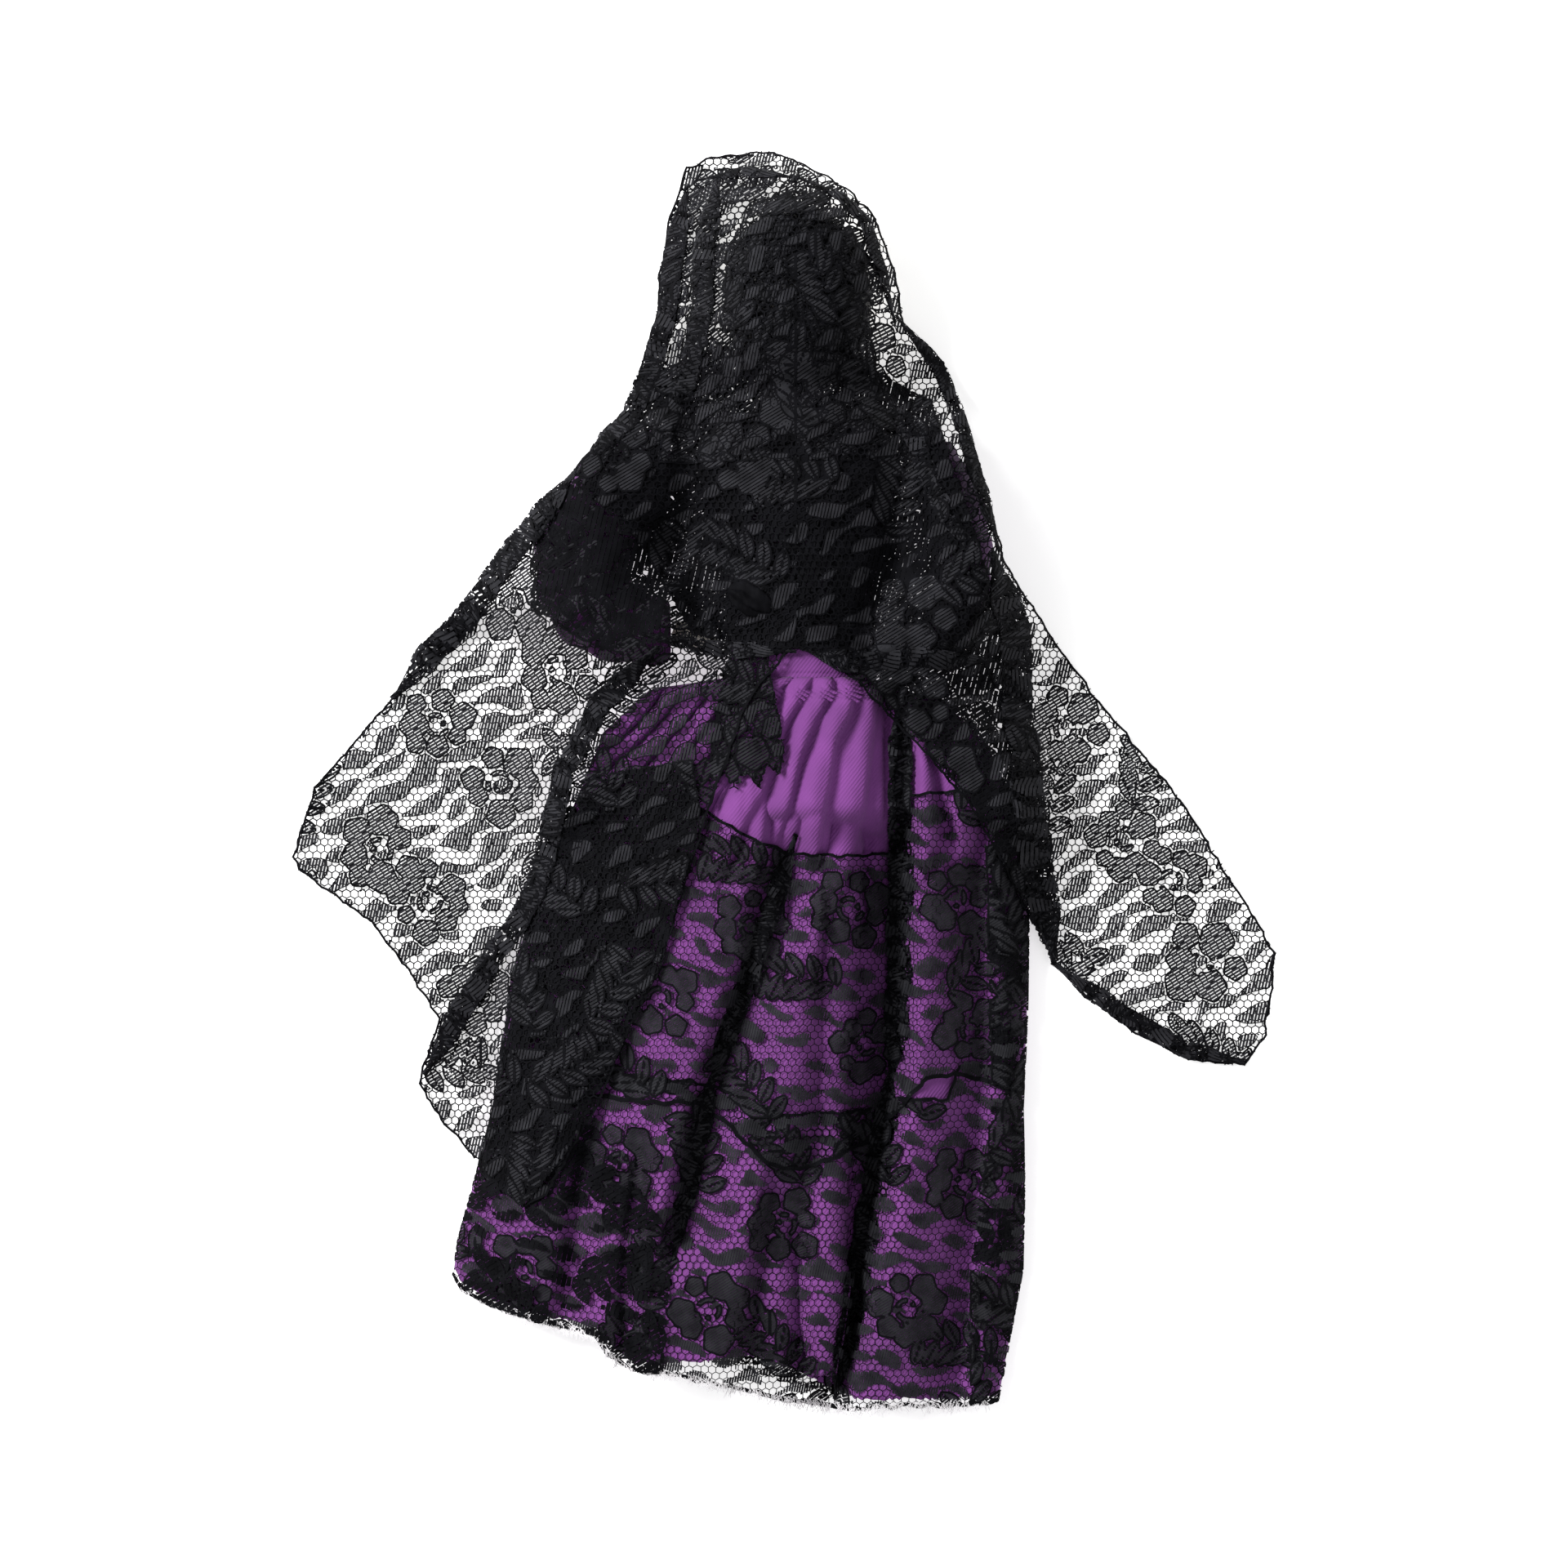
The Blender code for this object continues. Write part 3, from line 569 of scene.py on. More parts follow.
def fill_lines(field, low, high, angle, pitch, longest=2.4, step=0.4):
    """Parallel knit lines clipped to where the field is positive."""
    c, s = math.cos(angle), math.sin(angle)
    corners = [(x * c + y * s, y * c - x * s) for x in (low[0], high[0]) for y in (low[1], high[1])]
    along = np.arange(min(a for a, _ in corners), max(a for a, _ in corners), step)
    across = np.arange(min(b for _, b in corners), max(b for _, b in corners), pitch)
    a, b = np.meshgrid(along, across)
    x, y = a * c - b * s, a * s + b * c
    box = (x >= low[0]) & (x <= high[0]) & (y >= low[1]) & (y <= high[1])
    on = (field(x, y) > 0) & box
    segments = []
    padded = np.pad(on, ((0, 0), (1, 1)))
    rises = np.argwhere(~padded[:, :-1] & padded[:, 1:])
    falls = np.argwhere(padded[:, :-1] & ~padded[:, 1:])
    for (line, first), (_, last) in zip(rises, falls):
        start, end = along[first] - step * 0.5, along[last - 1] + step * 0.5
        pieces = max(1, math.ceil((end - start) / longest))
        cuts = np.linspace(start, end, pieces + 1)
        for p, q in zip(cuts[:-1], cuts[1:]):
            segments.append(((p, across[line]), (q, across[line])))
    segments = np.array(segments).reshape(-1, 2, 2)
    p, q = segments[..., 0], segments[..., 1]
    return np.stack([p * c - q * s, p * s + q * c], -1)


def contour(field, low, high, step=0.5):
    """Line segments where the field crosses zero, one for each cell that it crosses."""
    xs, ys = np.arange(low[0], high[0], step), np.arange(low[1], high[1], step)
    x, y = np.meshgrid(xs, ys)
    f = field(x, y)
    f = np.where(f == 0, 1e-6, f)

    def crossing(ax, ay, af, bx, by, bf):
        share = af / (af - bf)
        return np.stack([ax + (bx - ax) * share, ay + (by - ay) * share], -1), (af > 0) != (bf > 0)

    corner = [(x[:-1, :-1], y[:-1, :-1], f[:-1, :-1]), (x[:-1, 1:], y[:-1, 1:], f[:-1, 1:]),
              (x[1:, 1:], y[1:, 1:], f[1:, 1:]), (x[1:, :-1], y[1:, :-1], f[1:, :-1])]
    with np.errstate(divide="ignore", invalid="ignore"):
        cuts = [crossing(*corner[k], *corner[(k + 1) % 4]) for k in range(4)]
    hits = np.stack([hit for _, hit in cuts], -1)
    places = np.stack([place for place, _ in cuts], -2)
    two = hits.sum(-1) == 2
    chosen = places[two][hits[two]].reshape(-1, 2, 2)
    return chosen


def ribbons(segments, width, stretch=0.12):
    """Flat quads of a width along segments, a little longer than them so that they join."""
    a, b = segments[:, 0], segments[:, 1]
    along = b - a
    length = np.maximum(np.linalg.norm(along, axis=1, keepdims=True), 1e-6)
    along = along / length
    side = np.stack([-along[:, 1], along[:, 0]], -1) * width / 2
    a = a - along * stretch
    b = b + along * stretch
    return np.stack([a + side, a - side, b - side, b + side], 1)


def lace_quads(domain, low, high, roses, seed, shift=(0.0, 0.0), knit=FILL_PITCH, bar_gap=0.20,
               painted_shade_layer=False, net_width=NET_WIDTH):
    """All the flat quads of a piece of lace, with a small height for each: net, knit and cords.
    domain says which flat points belong to the piece; shift moves the pattern under it.
    A layer in the shade of another one is painted shade: its knit is dense and dark and its net is left out."""
    def motif(x, y):
        return motif_field(x + shift[0], y + shift[1], roses, seed)

    grids = {}

    def cached_motif(x, y):
        key = (x.shape, float(x.flat[0]), float(y.flat[-1]))
        if key not in grids:
            grids[key] = motif(x, y)
        return grids[key]

    def motif_in(x, y):
        return np.where(domain(x, y), cached_motif(x, y), -1.0)

    def bars_in(x, y):
        field = bar_field(x + shift[0], y + shift[1], cached_motif(x, y), seed + 50, bar_gap)
        return np.where(domain(x, y), field, -1.0)

    parts = []
    if not painted_shade_layer:
        net = hex_net(low, high, NET_PITCH, seed)
        middle = net.mean(1)
        parts.append((ribbons(net[domain(middle[:, 0], middle[:, 1])], net_width), 0.0))
    knit_lift, width = (SHADE_LAYER_LIFT, 1.05) if painted_shade_layer else (KNIT_LIFT, FILL_WIDTH)
    pitch = 1.2 if painted_shade_layer else knit
    parts.append((ribbons(fill_lines(motif_in, low, high, 0.55, pitch), width, 0), knit_lift))
    parts.append((ribbons(fill_lines(bars_in, low, high, 1.35, pitch), width, 0), knit_lift))
    parts.append((ribbons(contour(motif_in, low, high), CORD_WIDTH), 0.16))
    if not painted_shade_layer and seed + 50 >= VEIL_SEED:
        parts.append((ribbons(contour(bars_in, low, high, 0.8), BAR_CORD), 0.14))
    flat = np.concatenate([quads for quads, _ in parts])
    lift = np.concatenate([np.full(len(quads), height) for quads, height in parts])
    return flat, np.repeat(lift[:, None], 4, 1)


def polygon_domain(outline):
    return lambda x, y: inside(x, y, outline)


def border_quads(points, width=0.9):
    """Finished edge: a cord along a line of points."""
    points = np.array(points, float)
    pieces = []
    for a, b in zip(points[:-1], points[1:]):
        count = max(1, int(np.linalg.norm(b - a) / 1.2))
        steps = np.linspace(0, 1, count + 1)[:, None]
        line = a + (b - a) * steps
        pieces.append(np.stack([line[:-1], line[1:]], 1))
    segments = np.concatenate(pieces)
    wobble = 0.7 * np.stack([waves(segments[..., 0], segments[..., 1], 3, 6, 2),
                             waves(segments[..., 0], segments[..., 1], 4, 6, 2)], -1)
    return ribbons(segments + wobble, width, 0.25)


def lace_object(name, parts):
    """Mesh object of lace; each part is flat quads, their lift and place(x, y) -> (x, y, z)."""
    points = []
    for flat, lift, place in parts:
        px, py, pz = place(flat[..., 0].ravel(), flat[..., 1].ravel())
        points.append(np.stack([px, py, pz + lift.ravel()], -1))
    verts = np.concatenate(points)
    obj = mesh_object(name, verts, np.arange(len(verts)).reshape(-1, 4), smooth=False)
    # Knit quads at KNIT_LIFT get the lighter knit material, painted light of the top layer; knit of a layer
    # in shade, at its own lift, keeps the dark thread colour as painted shade
    knit = np.concatenate([np.abs(np.abs(lift[:, 0]) - KNIT_LIFT) < 1e-6 for _, lift, _ in parts])
    dress(obj, thread, thread_plain)
    obj.data.materials.append(lit_knit_plain)
    obj.material_slots[1].link = "OBJECT"
    obj.material_slots[1].material = lit_knit_look
    obj.data.polygons.foreach_set("material_index", knit.astype(np.int32))
    return obj


def flat_box(outline):
    xs, ys = [p[0] for p in outline], [p[1] for p in outline]
    return (min(xs) - 1, min(ys) - 1), (max(xs) + 1, max(ys) + 1)


# ---------------------------------------------------------------- skirt lace
def flounce_outline(top, bottom):
    """Outline of a flounce between two lines of (x, y) across the skirt."""
    return top + [(62, top[-1][1]), (62, bottom[-1][1])] + bottom[::-1] + [(-90, bottom[0][1])]


UPPER_TOP = [(-50, -3), (-30, -4), (-22, -5), (-15, -9), (-8, -13), (2, -17), (14, -17.5), (28, -17),
             (30, -3), (38, -2), (50, -1), (58, -3)]
UPPER_BOTTOM = [(-72, -80), (-60, -79), (-46, -76), (-34, -77), (-22, -77), (-12, -84), (-4, -92), (4, -94),
                (12, -91), (20, -88), (27, -80), (34, -72), (42, -70.5), (50, -73), (59, -76)]
LOWER_TOP = [(-72, -70), (-46, -70), (-22, -72), (0, -80), (20, -80), (28, -76.5), (40, -77), (43, -69),
             (59, -69)]
SKIRT_ROSES = [(-64, -119), (-30, -52), (-8, -34), (16, -30), (42, -28), (-40, -92), (0, -108), (20, -64),
               (46, -60), (-18, -128), (44, -98), (30, -128), (-52, -62)]


def on_skirt(lift):
    """Place lace on the skirt: it bridges the steep walls of the folds instead of following them."""
    def place(x, y):
        left, right = skirt_edges(y)
        spread = np.clip(x, left - 0.6, right + 0.6)
        held = np.maximum(y, -156)
        near = [skirt_height(spread + step, held) for step in (-1.3, -0.6, 0.0, 0.6, 1.3)]
        return spread, y, np.maximum(np.max(near, axis=0) + lift, 0.5)
    return place


def within_skirt(x, y):
    left, right = skirt_edges(y)
    return (x > left - 0.5) & (x < right + 0.5)


# Patches where extra dense dark lace layers are laid over the flounces as painted shade
RIGHT_EDGE_SHADE = [(49, -1), (62, -8), (62, -158), (46, -158), (46, -120), (51, -80)]
LOWER_LEFT_SHADE = [(-90, -70), (-46, -84), (-27, -110), (-30, -150), (-90, -150)]


def make_flounces():
    """The two lace flounces over the skirt's back, with extra dark layers and gathered lace bands in its two
    deep valleys, laid there as painted shade.
    """
    tiers = (("upper", UPPER_TOP, UPPER_BOTTOM, 1.0, 61, (28, -74)),
             ("lower", LOWER_TOP, HEM, 0.6, 62, (-68, -152)))
    for name, top, bottom, lift, seed, span in tiers:
        outline = flounce_outline(top, bottom)
        parts = []
        # Past the flounce itself, extra layers at the right edge and lower left darken those patches as
        # painted shade
        for index, (region, painted_shade_layer) in enumerate(((outline, False), (RIGHT_EDGE_SHADE, True), (RIGHT_EDGE_SHADE, False),
                                                  (LOWER_LEFT_SHADE, True))):
            low, high = flat_box(region)
            tier, patch_of = polygon_domain(outline), polygon_domain(region)
            flat, heights = lace_quads(
                lambda x, y: tier(x, y) & patch_of(x, y) & within_skirt(x, y), low, high,
                SKIRT_ROSES if index == 0 else [], seed + 10 * index, shift=(index * 7.0, index * -5.0),
                knit=0.62, bar_gap=0.38 if index == 0 else 0.9, painted_shade_layer=painted_shade_layer, net_width=FLOUNCE_NET_WIDTH)
            parts.append((flat, heights, on_skirt(lift + 0.3 * index)))
        for edge, width in ((bottom, 1.0), (top, 0.7)):
            quads = border_quads(edge, width)
            parts.append((quads, np.full((len(quads), 4), 0.2), on_skirt(lift)))
        # Dense gathered lace in valley folds A and B: a dark sheet laid where the valleys' shade falls,
        # painted shade
        for path, width, cloth in ((FOLD_A, 6.0, 18), (FOLD_B, 7.0, 24)):
            piece = cut_path(path, *span)
            if len(piece) > 1:
                band, size = fold_band(piece, width, cloth, seed + 20, base=skirt_height, lift=lift, loft=2.0)
                parts.append(band)
        lace = lace_object(name + "_flounce_back", parts)
        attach(lace, "figure")
        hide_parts(name + "_lace_back")


def make_hem_fray():
    """Loose whitish threads that stand out of the flounce's cut hem."""
    rng = np.random.default_rng(9)
    x = rng.uniform(-80, 50, 1200)
    y = np.interp(x, [p[0] for p in HEM], [p[1] for p in HEM]) + rng.uniform(-0.6, 1.2, len(x))
    turn = rng.uniform(-2.6, -0.5, len(x))
    reach = rng.uniform(0.8, 2.4, (len(x), 1))
    start = np.stack([x, y], -1)
    threads = np.stack([start, start + reach * np.stack([np.cos(turn), np.sin(turn)], -1)], 1)
    flat = ribbons(threads, 0.13, 0)
    px, py, pz = on_skirt(1.0)(flat[..., 0].ravel(), flat[..., 1].ravel())
    quads = np.arange(len(px)).reshape(-1, 4)
    fray = mesh_object("hem_fray", np.stack([px, py, pz], -1), quads, smooth=False)
    dress(fray, white_thread)
    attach(fray, "figure")


def cut_path(path, top, bottom):
    """The part of a downward path that lies between two heights."""
    ys = [-y for _, y in path]
    ends = [(float(np.interp(-y, ys, [x for x, _ in path])), y) for y in (top, bottom)]
    middle = [p for p in path if bottom < p[1] < top]
    return [p for p in (ends[0], *middle, ends[1]) if path[-1][1] <= p[1] <= path[0][1]]


# ---------------------------------------------------------------- veil
GRID = 1.5
GRID_X = np.arange(-129, 130, GRID)
GRID_Y = np.arange(-159, 162, GRID)
ARM_LIFT = math.radians(8)
SHOULDER_Y = 77.0
FALL = 1.35


def lifted_arm_tree(obj):
    """BVH and size of a sleeve or hand with its arm swung up to its limit about the shoulder wire."""
    points = []
    for vert in obj.data.vertices:
        place = obj.matrix_world @ vert.co
        y, z = place.y / MM - SHOULDER_Y, place.z / MM - BODY_Z
        points.append((place.x, (SHOULDER_Y + y * math.cos(ARM_LIFT) + z * math.sin(ARM_LIFT)) * MM,
                       (BODY_Z - y * math.sin(ARM_LIFT) + z * math.cos(ARM_LIFT)) * MM))
    corners = np.array(points) / MM
    tree = BVHTree.FromPolygons(points, [list(p.vertices) for p in obj.data.polygons])
    return tree, corners.min(0) - 3, corners.max(0) + 3


def drape_heights(objects, arms):
    """Height map of the veil: held up by what is under it and falling steeply beside it."""
    bpy.context.view_layer.update()
    depsgraph = bpy.context.evaluated_depsgraph_get()
    trees = []
    for obj in objects:
        corners = np.array([v.co for v in obj.data.vertices]) / MM
        trees.append((BVHTree.FromObject(obj, depsgraph), corners.min(0) - 12, corners.max(0) + 12))
    for obj in arms:
        trees.append(lifted_arm_tree(obj))
    held = np.zeros((len(GRID_Y), len(GRID_X)))
    down = Vector((0, 0, -1))
    for tree, low, high in trees:
        for r in np.flatnonzero((GRID_Y > low[1]) & (GRID_Y < high[1])):
            for c in np.flatnonzero((GRID_X > low[0]) & (GRID_X < high[0])):
                hit = tree.ray_cast(Vector((GRID_X[c] * MM, GRID_Y[r] * MM, 0.1)), down)[0]
                if hit:
                    held[r, c] = max(held[r, c], hit.z / MM)
    wide = held.copy()
    for dr, dc in ((0, 1), (1, 0), (0, -1), (-1, 0), (1, 1), (1, -1), (-1, 1), (-1, -1)):
        wide = np.maximum(wide, np.roll(held, (dr, dc), (0, 1)))
    held = np.where(wide > 0, wide + 0.9, 0.35)
    height = held.copy()
    for _ in range(30):
        for dr, dc in ((0, 1), (1, 0), (0, -1), (-1, 0), (1, 1), (1, -1), (-1, 1), (-1, -1)):
            step = GRID * math.hypot(dr, dc)
            height = np.maximum(height, np.roll(height, (dr, dc), (0, 1)) - FALL * step)
    for _ in range(5):
        mean = sum(np.roll(height, (dr, dc), (0, 1)) for dr in (-1, 0, 1) for dc in (-1, 0, 1)) / 9
        height = np.maximum(held, mean)
    return height


def read_grid(grid, x, y):
    """Value of a height map between its grid points."""
    c = np.clip((x - GRID_X[0]) / GRID, 0, len(GRID_X) - 1.001)
    r = np.clip((y - GRID_Y[0]) / GRID, 0, len(GRID_Y) - 1.001)
    ci, ri = c.astype(int), r.astype(int)
    cf, rf = c - ci, r - ri
    low = grid[ri, ci] * (1 - cf) + grid[ri, ci + 1] * cf
    high = grid[ri + 1, ci] * (1 - cf) + grid[ri + 1, ci + 1] * cf
    return low * (1 - rf) + high * rf


arm_pieces = [piece for piece in supports if "sleeve" in piece.name]
arm_pieces += [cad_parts["left_hand"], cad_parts["right_hand"]]
veil_heights = drape_heights(supports, arm_pieces)


def on_body(lift, seed=71, ripple=0.5):
    """Place a point of the veil on the draped height map, with soft ripples."""
    def place(x, y):
        z = read_grid(veil_heights, x, y) + lift
        z = z + ripple * (1 + waves(x, y, seed, 34, 3))
        return x, y, z
    return place


def along_path(path):
    """Function from a length along a path to its point and its left-hand normal."""
    points = np.array(path, float)
    steps = np.linalg.norm(np.diff(points, axis=0), axis=1)
    lengths = np.concatenate([[0], np.cumsum(steps)])

    def at(v):
        x = np.interp(v, lengths, points[:, 0])
        y = np.interp(v, lengths, points[:, 1])
        after, before = v + 2, v - 2
        ahead = np.stack([np.interp(after, lengths, points[:, k]) - np.interp(before, lengths, points[:, k])
                          for k in (0, 1)], -1)
        ahead = ahead / np.maximum(np.linalg.norm(ahead, axis=-1, keepdims=True), 1e-6)
        return x, y, -ahead[..., 1], ahead[..., 0]
    return at, lengths[-1]


def fold_band(path, width, cloth, seed, turns=2.5, lift=0.6, loft=2.2, base=None):
    """Accordion of gathered lace along a path: cloth mm of flat lace folded into width mm.
    Gives quads, lifts, the placing function and the flat area."""
    at, length = along_path(path)
    flat, heights = lace_quads(lambda u, v: (u > 0) & (u < cloth) & (v > 0) & (v < length),
                               (0, 0), (cloth, length), [], seed, shift=(seed * 37.0, seed * 23.0))

    def place(u, v):
        x, y, nx, ny = at(v)
        ends = np.clip(np.minimum(v, length - v) / 12, 0.25, 1)
        phase = turns * u / cloth + 0.16 * waves(u, v, seed, 25, 2)
        swing = 2 * np.abs(2 * (phase % 1.0) - 1) - 1
        across = width / 2 * ends * (swing * 0.85 + 0.25 * waves(v, u * 0.3, seed + 3, 16, 2))
        px, py = x + nx * across, y + ny * across
        floor_z = base(px, py) if base else read_grid(veil_heights, px, py)
        z = floor_z + lift + loft * (u / cloth) * ends + 0.5 * (1 - swing ** 2)
        return px, py, z
    return (flat, heights, place), cloth * length


def patch(outline, lift, seed, shift, painted_shade_layer=False, bar_gap=0.6, ripple=0.5):
    """One layer of lace lying over the body inside an outline, and its area."""
    low, high = flat_box(outline)
    region, whole = polygon_domain(outline), polygon_domain(VEIL)
    flat, heights = lace_quads(lambda x, y: region(x, y) & whole(x, y), low, high, ROSES, seed, shift,
                               painted_shade_layer=painted_shade_layer, bar_gap=SHADE_LAYER_GAP if painted_shade_layer else bar_gap)
    return (flat, heights, on_body(lift, seed, ripple)), area_of(outline)


def area_of(outline):
    return abs(sum(ax * by - bx * ay for (ax, ay), (bx, by) in zip(outline, outline[1:] + outline[:1]))) / 2


def edging(points, lift=0.35, width=0.55):
    quads = border_quads(points, width)
    return quads, np.full((len(quads), 4), 0.2), on_body(lift)


make_flounces()
make_hem_fray()

SPLIT_X = 3.0
VEIL_LEFT = [(SPLIT_X, 155.2), (-3, 155.6)] + VEIL_LEFT_OUT + VEIL_LEFT_IN + [(SPLIT_X, 33)]
VEIL_RIGHT = [(SPLIT_X, 33)] + VEIL_RIGHT_IN + VEIL_RIGHT_OUT[:-1] + [(SPLIT_X, 152.5)]

TORSO_LEFT = [(3, 104), (-14, 106), (-30, 102), (-38, 91), (-49, 80), (-48, 70), (-38, 63), (-31, 52),
              (-22, 36), (3, 32)]
TORSO_RIGHT = [(3, 104), (3, 32), (20, 28), (44, 30), (52, 40), (46, 60), (40, 78), (36, 94), (20, 102)]
LEFT_FLAP = [(-22, 6), (-46, 2), (-56, -10), (-66, -46), (-72, -80), (-74, -97), (-64, -103), (-54, -91),
             (-46, -77), (-31, -47), (-20, -8)]
RIGHT_FLAP = [(10, 32), (20, 26), (34, 9), (46, -5), (54, -19), (61, -33), (65, -34), (60, 10), (54, 44),
              (44, 34), (26, 34)]
HEAD_COVER = [(3, 152), (-20, 152), (-27, 140), (-29, 118), (-24, 96), (3, 94)]
HEAD_COVER_RIGHT = [(3, 94), (22, 96), (24, 120), (18, 139), (3, 149)]
NAPE_LEFT = [(3, 144), (-8, 140), (-14, 128), (-15, 112), (-19, 98), (-32, 86), (-30, 78), (3, 78)]
NAPE_RIGHT = [(3, 78), (30, 78), (30, 86), (23, 98), (20, 112), (20, 126), (14, 139), (3, 144)]
SLEEVE_COVER = [(-28, 74), (-50, 84), (-61, 66), (-61, 42), (-44, 32), (-28, 34)]

LEFT_BANDS = [
    ([(-50, 76), (-60, 63), (-78, 42), (-97, 21)], 8.0, 19, 81),
    ([(-30, 33), (-44, 20), (-53, 4), (-61, -26), (-75, -48), (-89, -72)], 7.0, 19, 82),
    ([(-24, 148), (-27, 132), (-28, 116), (-33, 102), (-37, 90), (-50, 75)], 6.5, 18, 83),
    ([(-16, 150), (-19, 132), (-20, 114), (-25, 96), (-30, 84)], 7.0, 20, 84),
    ([(-22, 149), (-8, 150), (4, 147.5)], 4.0, 14, 85),
    ([(-34, 36), (-20, 33), (-6, 32), (3, 32)], 5.0, 18, 86),
]
RIGHT_BANDS = [
    ([(50, 56), (56, 38), (58, 14), (60, -8), (64, -30), (67, -44)], 10.0, 30, 91),
    ([(66, -44), (84, -57), (100, -66), (114, -68.5)], 5.5, 16, 92),
    ([(4, 147.5), (14, 142.5), (20, 136), (24, 122), (27, 112)], 4.0, 14, 93),
    ([(27, 114), (38, 103), (42, 92), (46, 76), (52, 56)], 4.5, 16, 94),
    ([(4, 33), (14, 29), (28, 30), (42, 30), (52, 30)], 6.0, 20, 95),
    ([(24, 98), (31, 84), (36, 70), (46, 54)], 6.0, 16, 96),
]


GROUND_LAYER_GAP = 0.15     # room between the bars where one layer lies on the floor
UPPER_LAYER_GAP = 0.6


def make_veil_side(name, outer, inner, layers, bands):
    """Half of the veil: its layers, given as (outline, lift, whether the layer lies in painted shade), its
    edge folds and its edging.
    """
    parts = []
    for index, (region, lift, painted_shade_layer) in enumerate(layers):
        shift = (index * 13.0, index * -9.0)
        gap = UPPER_LAYER_GAP if index else GROUND_LAYER_GAP
        part, size = patch(region, lift, 101 + index, shift, painted_shade_layer, gap)
        parts.append(part)
    for path, width, cloth, seed in bands:
        part, size = fold_band(path, width, cloth, seed)
        parts.append(part)
    parts.append(edging(outer))
    parts.append(edging(inner))
    veil = lace_object(name, parts)
    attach(veil, "figure")
    return veil


def make_veil():
    """The veil in two halves that meet along the figure's middle."""
    # Layers flagged True lie under others and stand as painted shade: dense dark knit and no net
    left_layers = [(VEIL_LEFT, 0.2, False), (TORSO_LEFT, 0.7, True), (TORSO_LEFT, 1.1, True),
                   (TORSO_LEFT, 1.6, False), (LEFT_FLAP, 0.8, True), (LEFT_FLAP, 1.3, False),
                   (HEAD_COVER, 0.9, False), (NAPE_LEFT, 1.3, False), (NAPE_LEFT, 1.8, False),
                   (SLEEVE_COVER, 0.5, True)]
    right_layers = [(VEIL_RIGHT, 0.2, False), (TORSO_RIGHT, 0.7, True), (TORSO_RIGHT, 1.1, True),
                    (TORSO_RIGHT, 1.6, False), (RIGHT_FLAP, 0.8, True), (RIGHT_FLAP, 1.4, False),
                    (HEAD_COVER_RIGHT, 0.9, False), (NAPE_RIGHT, 1.3, False), (NAPE_RIGHT, 1.8, False)]
    left = make_veil_side("veil_left", [(-3, 155.6)] + VEIL_LEFT_OUT, VEIL_LEFT_IN, left_layers, LEFT_BANDS)
    right = make_veil_side("veil_right", VEIL_RIGHT_OUT, VEIL_RIGHT_IN, right_layers, RIGHT_BANDS)
    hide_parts("lace_veil")
    return left, right


make_veil()


# ---------------------------------------------------------------- sash
def skirt_or_blouse(x, y):
    return np.maximum(skirt_height(x, np.minimum(y, 25)) * (y < 27), read_grid(veil_heights, x, y) - 1.2)


def make_sash():
    """Crushed lace sash round the waist, its knot and its hanging tail."""
    rows, columns = 26, 150
    y = np.linspace(40.5, 32.8, rows)[:, None]
    angle = np.linspace(0, 2 * math.pi, columns, endpoint=False)[None, :]
    crush = 0.35 * np.sin(y * 3.6 + 1.2 * np.sin(angle * 5)) + 0.3 * waves(angle * 20, y + 0 * angle, 55, 9)
    half_width = 17.6 + (y - 36) * 0.08
    x = AXIS_X + (half_width + crush) * np.cos(angle)
    z = BODY_Z + (12.6 + crush) * np.sin(angle)
    points = np.stack([x, y + 0 * x, z], -1).reshape(-1, 3)
    band = mesh_object("waist_sash_lace", points, grid_faces(rows, columns, wrap=True))
    thicken(band, 0.3)
    dress(band, thread, thread_plain)
    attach(band, "figure")
    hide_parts("waist_sash")

    rows, columns = 60, 60
    a = np.linspace(0.02, math.pi - 0.02, rows)[:, None]
    b = np.linspace(0, 2 * math.pi, columns, endpoint=False)[None, :]
    crush = 1 + 0.16 * np.sin(b * 5 + 3 * a) + 0.14 * waves(a * 9, b * 4, 57, 7)
    x = -8 + 5.6 * np.cos(a) + 0 * b
    y = 44.5 + 3.7 * np.sin(a) * np.cos(b) * crush - 1.4 * np.cos(a)
    z = 31.2 + 2.6 * np.sin(a) * np.sin(b) * crush
    points = np.stack([x, y, z], -1).reshape(-1, 3)
    knot = mesh_object("sash_knot_lace", points, grid_faces(rows, columns, wrap=True)[:, ::-1])
    dress(knot, thread, thread_plain)
    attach(knot, "figure")
    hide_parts("sash_knot")

    tail_outline = [(-12, 40), (-5, 40), (-4, 30), (-2, 20), (0, 8), (-1, 2), (-4, 5), (-6, -1), (-9, 3),
                    (-12, -2), (-14, 3), (-18, 0), (-17, 12), (-15, 24)]
    parts = []
    for index, lift in enumerate((1.0, 1.5)):
        low, high = flat_box(tail_outline)
        flat, heights = lace_quads(polygon_domain(tail_outline), low, high, [(-10, 12)], 120 + index,
                                   (index * 5.0, index * 3.0))
        parts.append((flat, heights, lambda x, y, lift=lift: (x, y, skirt_or_blouse(x, y) + lift)))
    tail = lace_object("sash_tail_lace", parts)
    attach(tail, "figure")
    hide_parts("sash_tail")


make_sash()


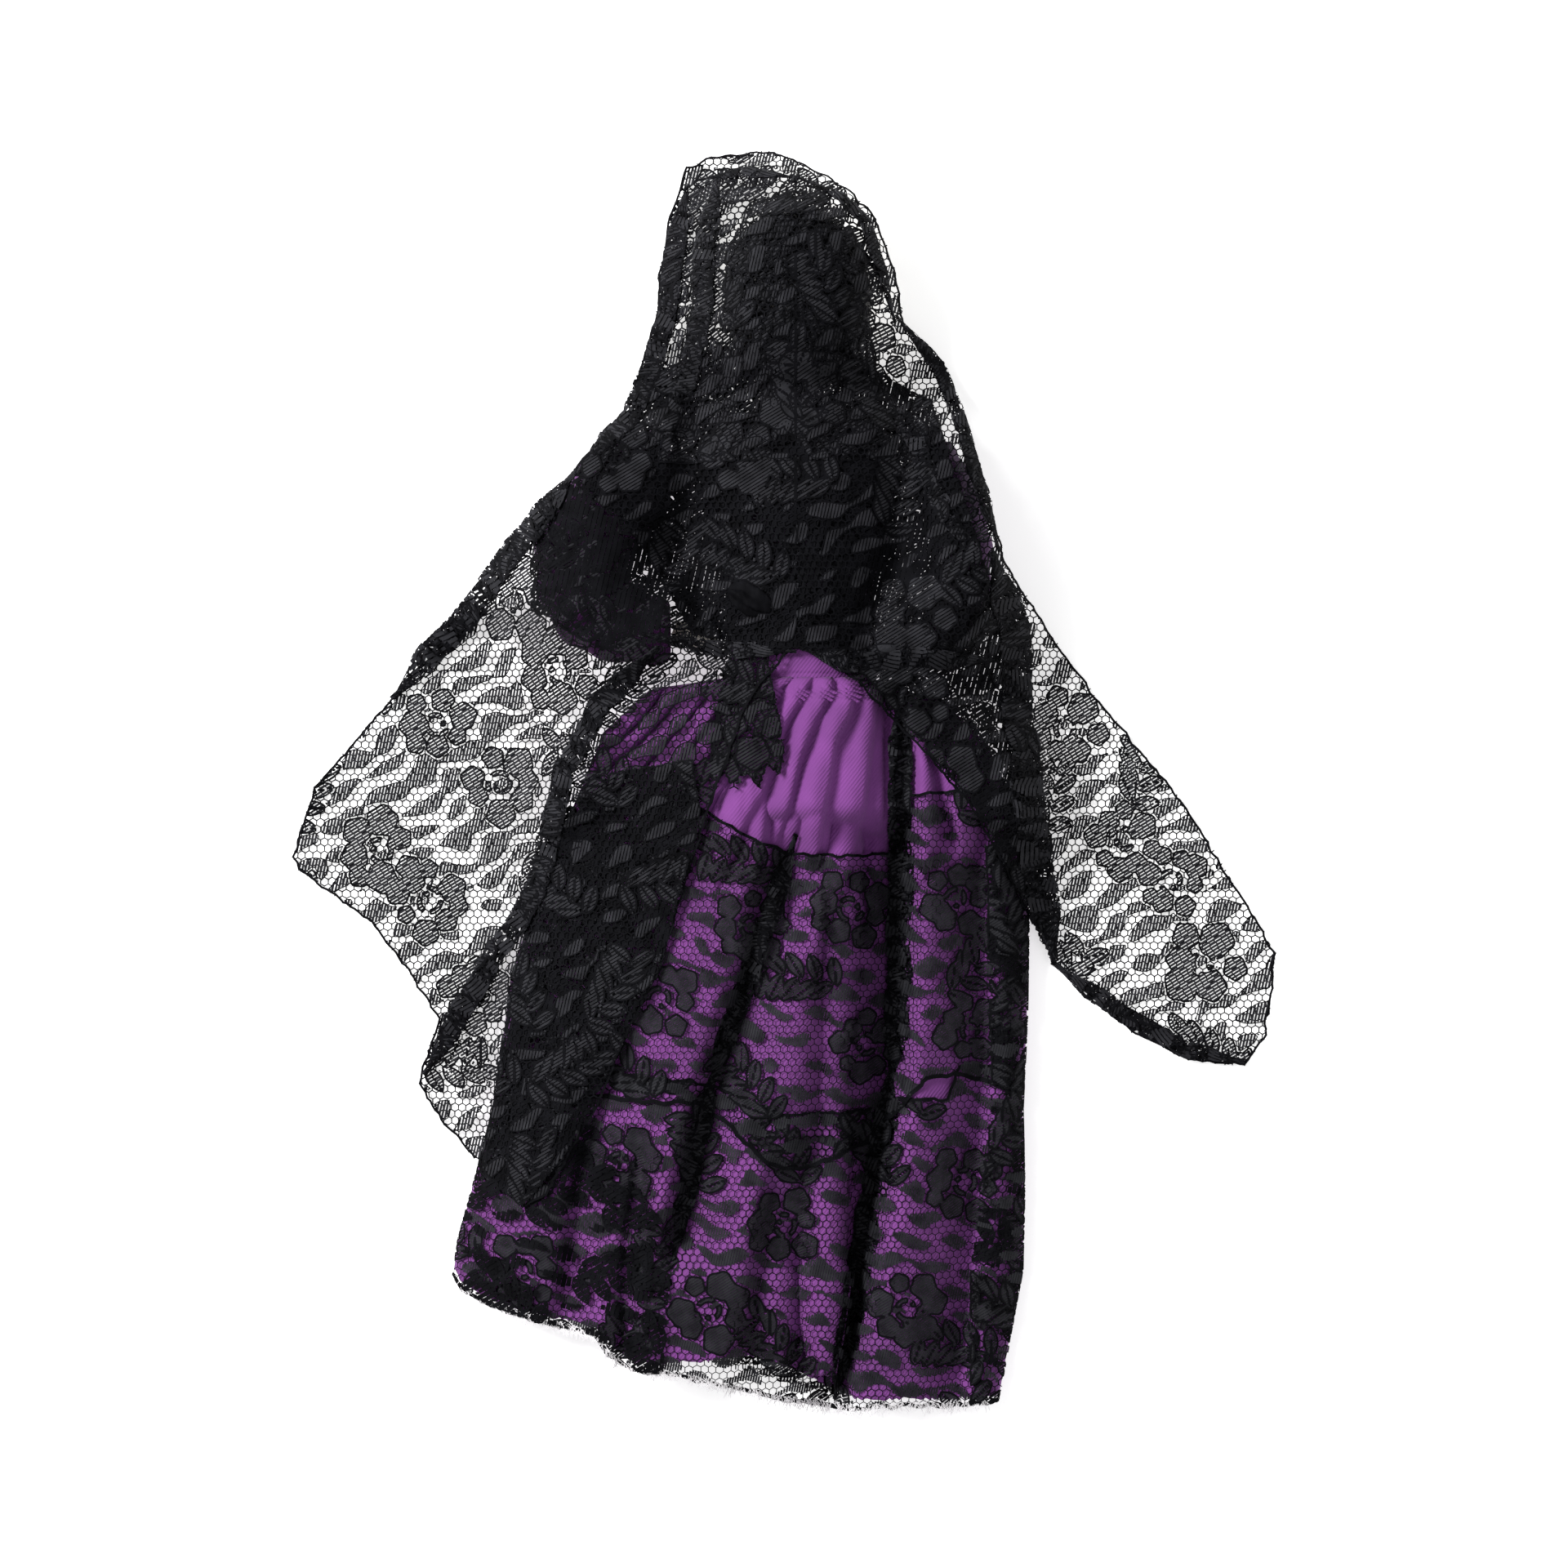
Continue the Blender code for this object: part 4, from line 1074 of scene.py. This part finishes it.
def make_front_flounces():
    """The flounces' front halves, flat under the skirt."""
    tiers = (("upper", UPPER_TOP, UPPER_BOTTOM, 161), ("lower", LOWER_TOP, HEM, 162))
    for name, top, bottom, seed in tiers:
        outline = flounce_outline([(x, y - 4) for x, y in top], [(x, y + 3) for x, y in bottom])
        low, high = flat_box(outline)
        domain = polygon_domain(outline)
        flat, heights = lace_quads(lambda x, y: domain(x, y) & within_skirt(x * 1.03, y), low, high,
                                   SKIRT_ROSES, seed)
        rise = 0.15 if name == "upper" else 0.3
        lace = lace_object(name + "_flounce_front",
                           [(flat, -heights, lambda x, y, rise=rise: (x, y, np.full(x.shape, rise)))])
        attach(lace, "figure")
        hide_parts(name + "_lace_front")


make_front_flounces()

# camera, light and floor
def make_stage():
    bpy.ops.mesh.primitive_plane_add(size=6)
    floor = bpy.context.object
    floor.name = "floor"
    look = node_material("floor_paper", (0.86, 0.86, 0.86), 0.9)[0]
    shader = look.node_tree.nodes["Principled BSDF"]
    shader.inputs["Emission Color"].default_value = (1, 1, 1, 1)
    shader.inputs["Emission Strength"].default_value = 0.55
    floor.data.materials.append(look)
    world = bpy.data.worlds.new("studio")
    bpy.context.scene.world = world
    world.use_nodes = True
    world.node_tree.nodes["Background"].inputs["Color"].default_value = (1, 1, 1, 1)
    world.node_tree.nodes["Background"].inputs["Strength"].default_value = 0.5
    lamps = (("key", (-0.75, 0.45, 0.85), 0.35, 20), ("fill", (0.6, -0.5, 1.1), 0.8, 2))
    for name, place, size, power in lamps:
        light = bpy.data.lights.new(name, "AREA")
        light.size = size
        light.energy = power
        lamp = bpy.data.objects.new(name, light)
        bpy.context.scene.collection.objects.link(lamp)
        lamp.location = place
        lamp.rotation_euler = (-Vector(place)).to_track_quat("-Z", "Y").to_euler()
    camera_data = bpy.data.cameras.new("camera")
    camera_data.lens = 100
    camera_data.sensor_width = 36
    camera = bpy.data.objects.new("camera", camera_data)
    bpy.context.scene.collection.objects.link(camera)
    camera.location = (0, 0, 0.384 * 100 / 36 + 0.012)
    camera_data.dof.use_dof = False
    bpy.context.scene.camera = camera
    bpy.context.scene.view_settings.view_transform = "Standard"


make_stage()
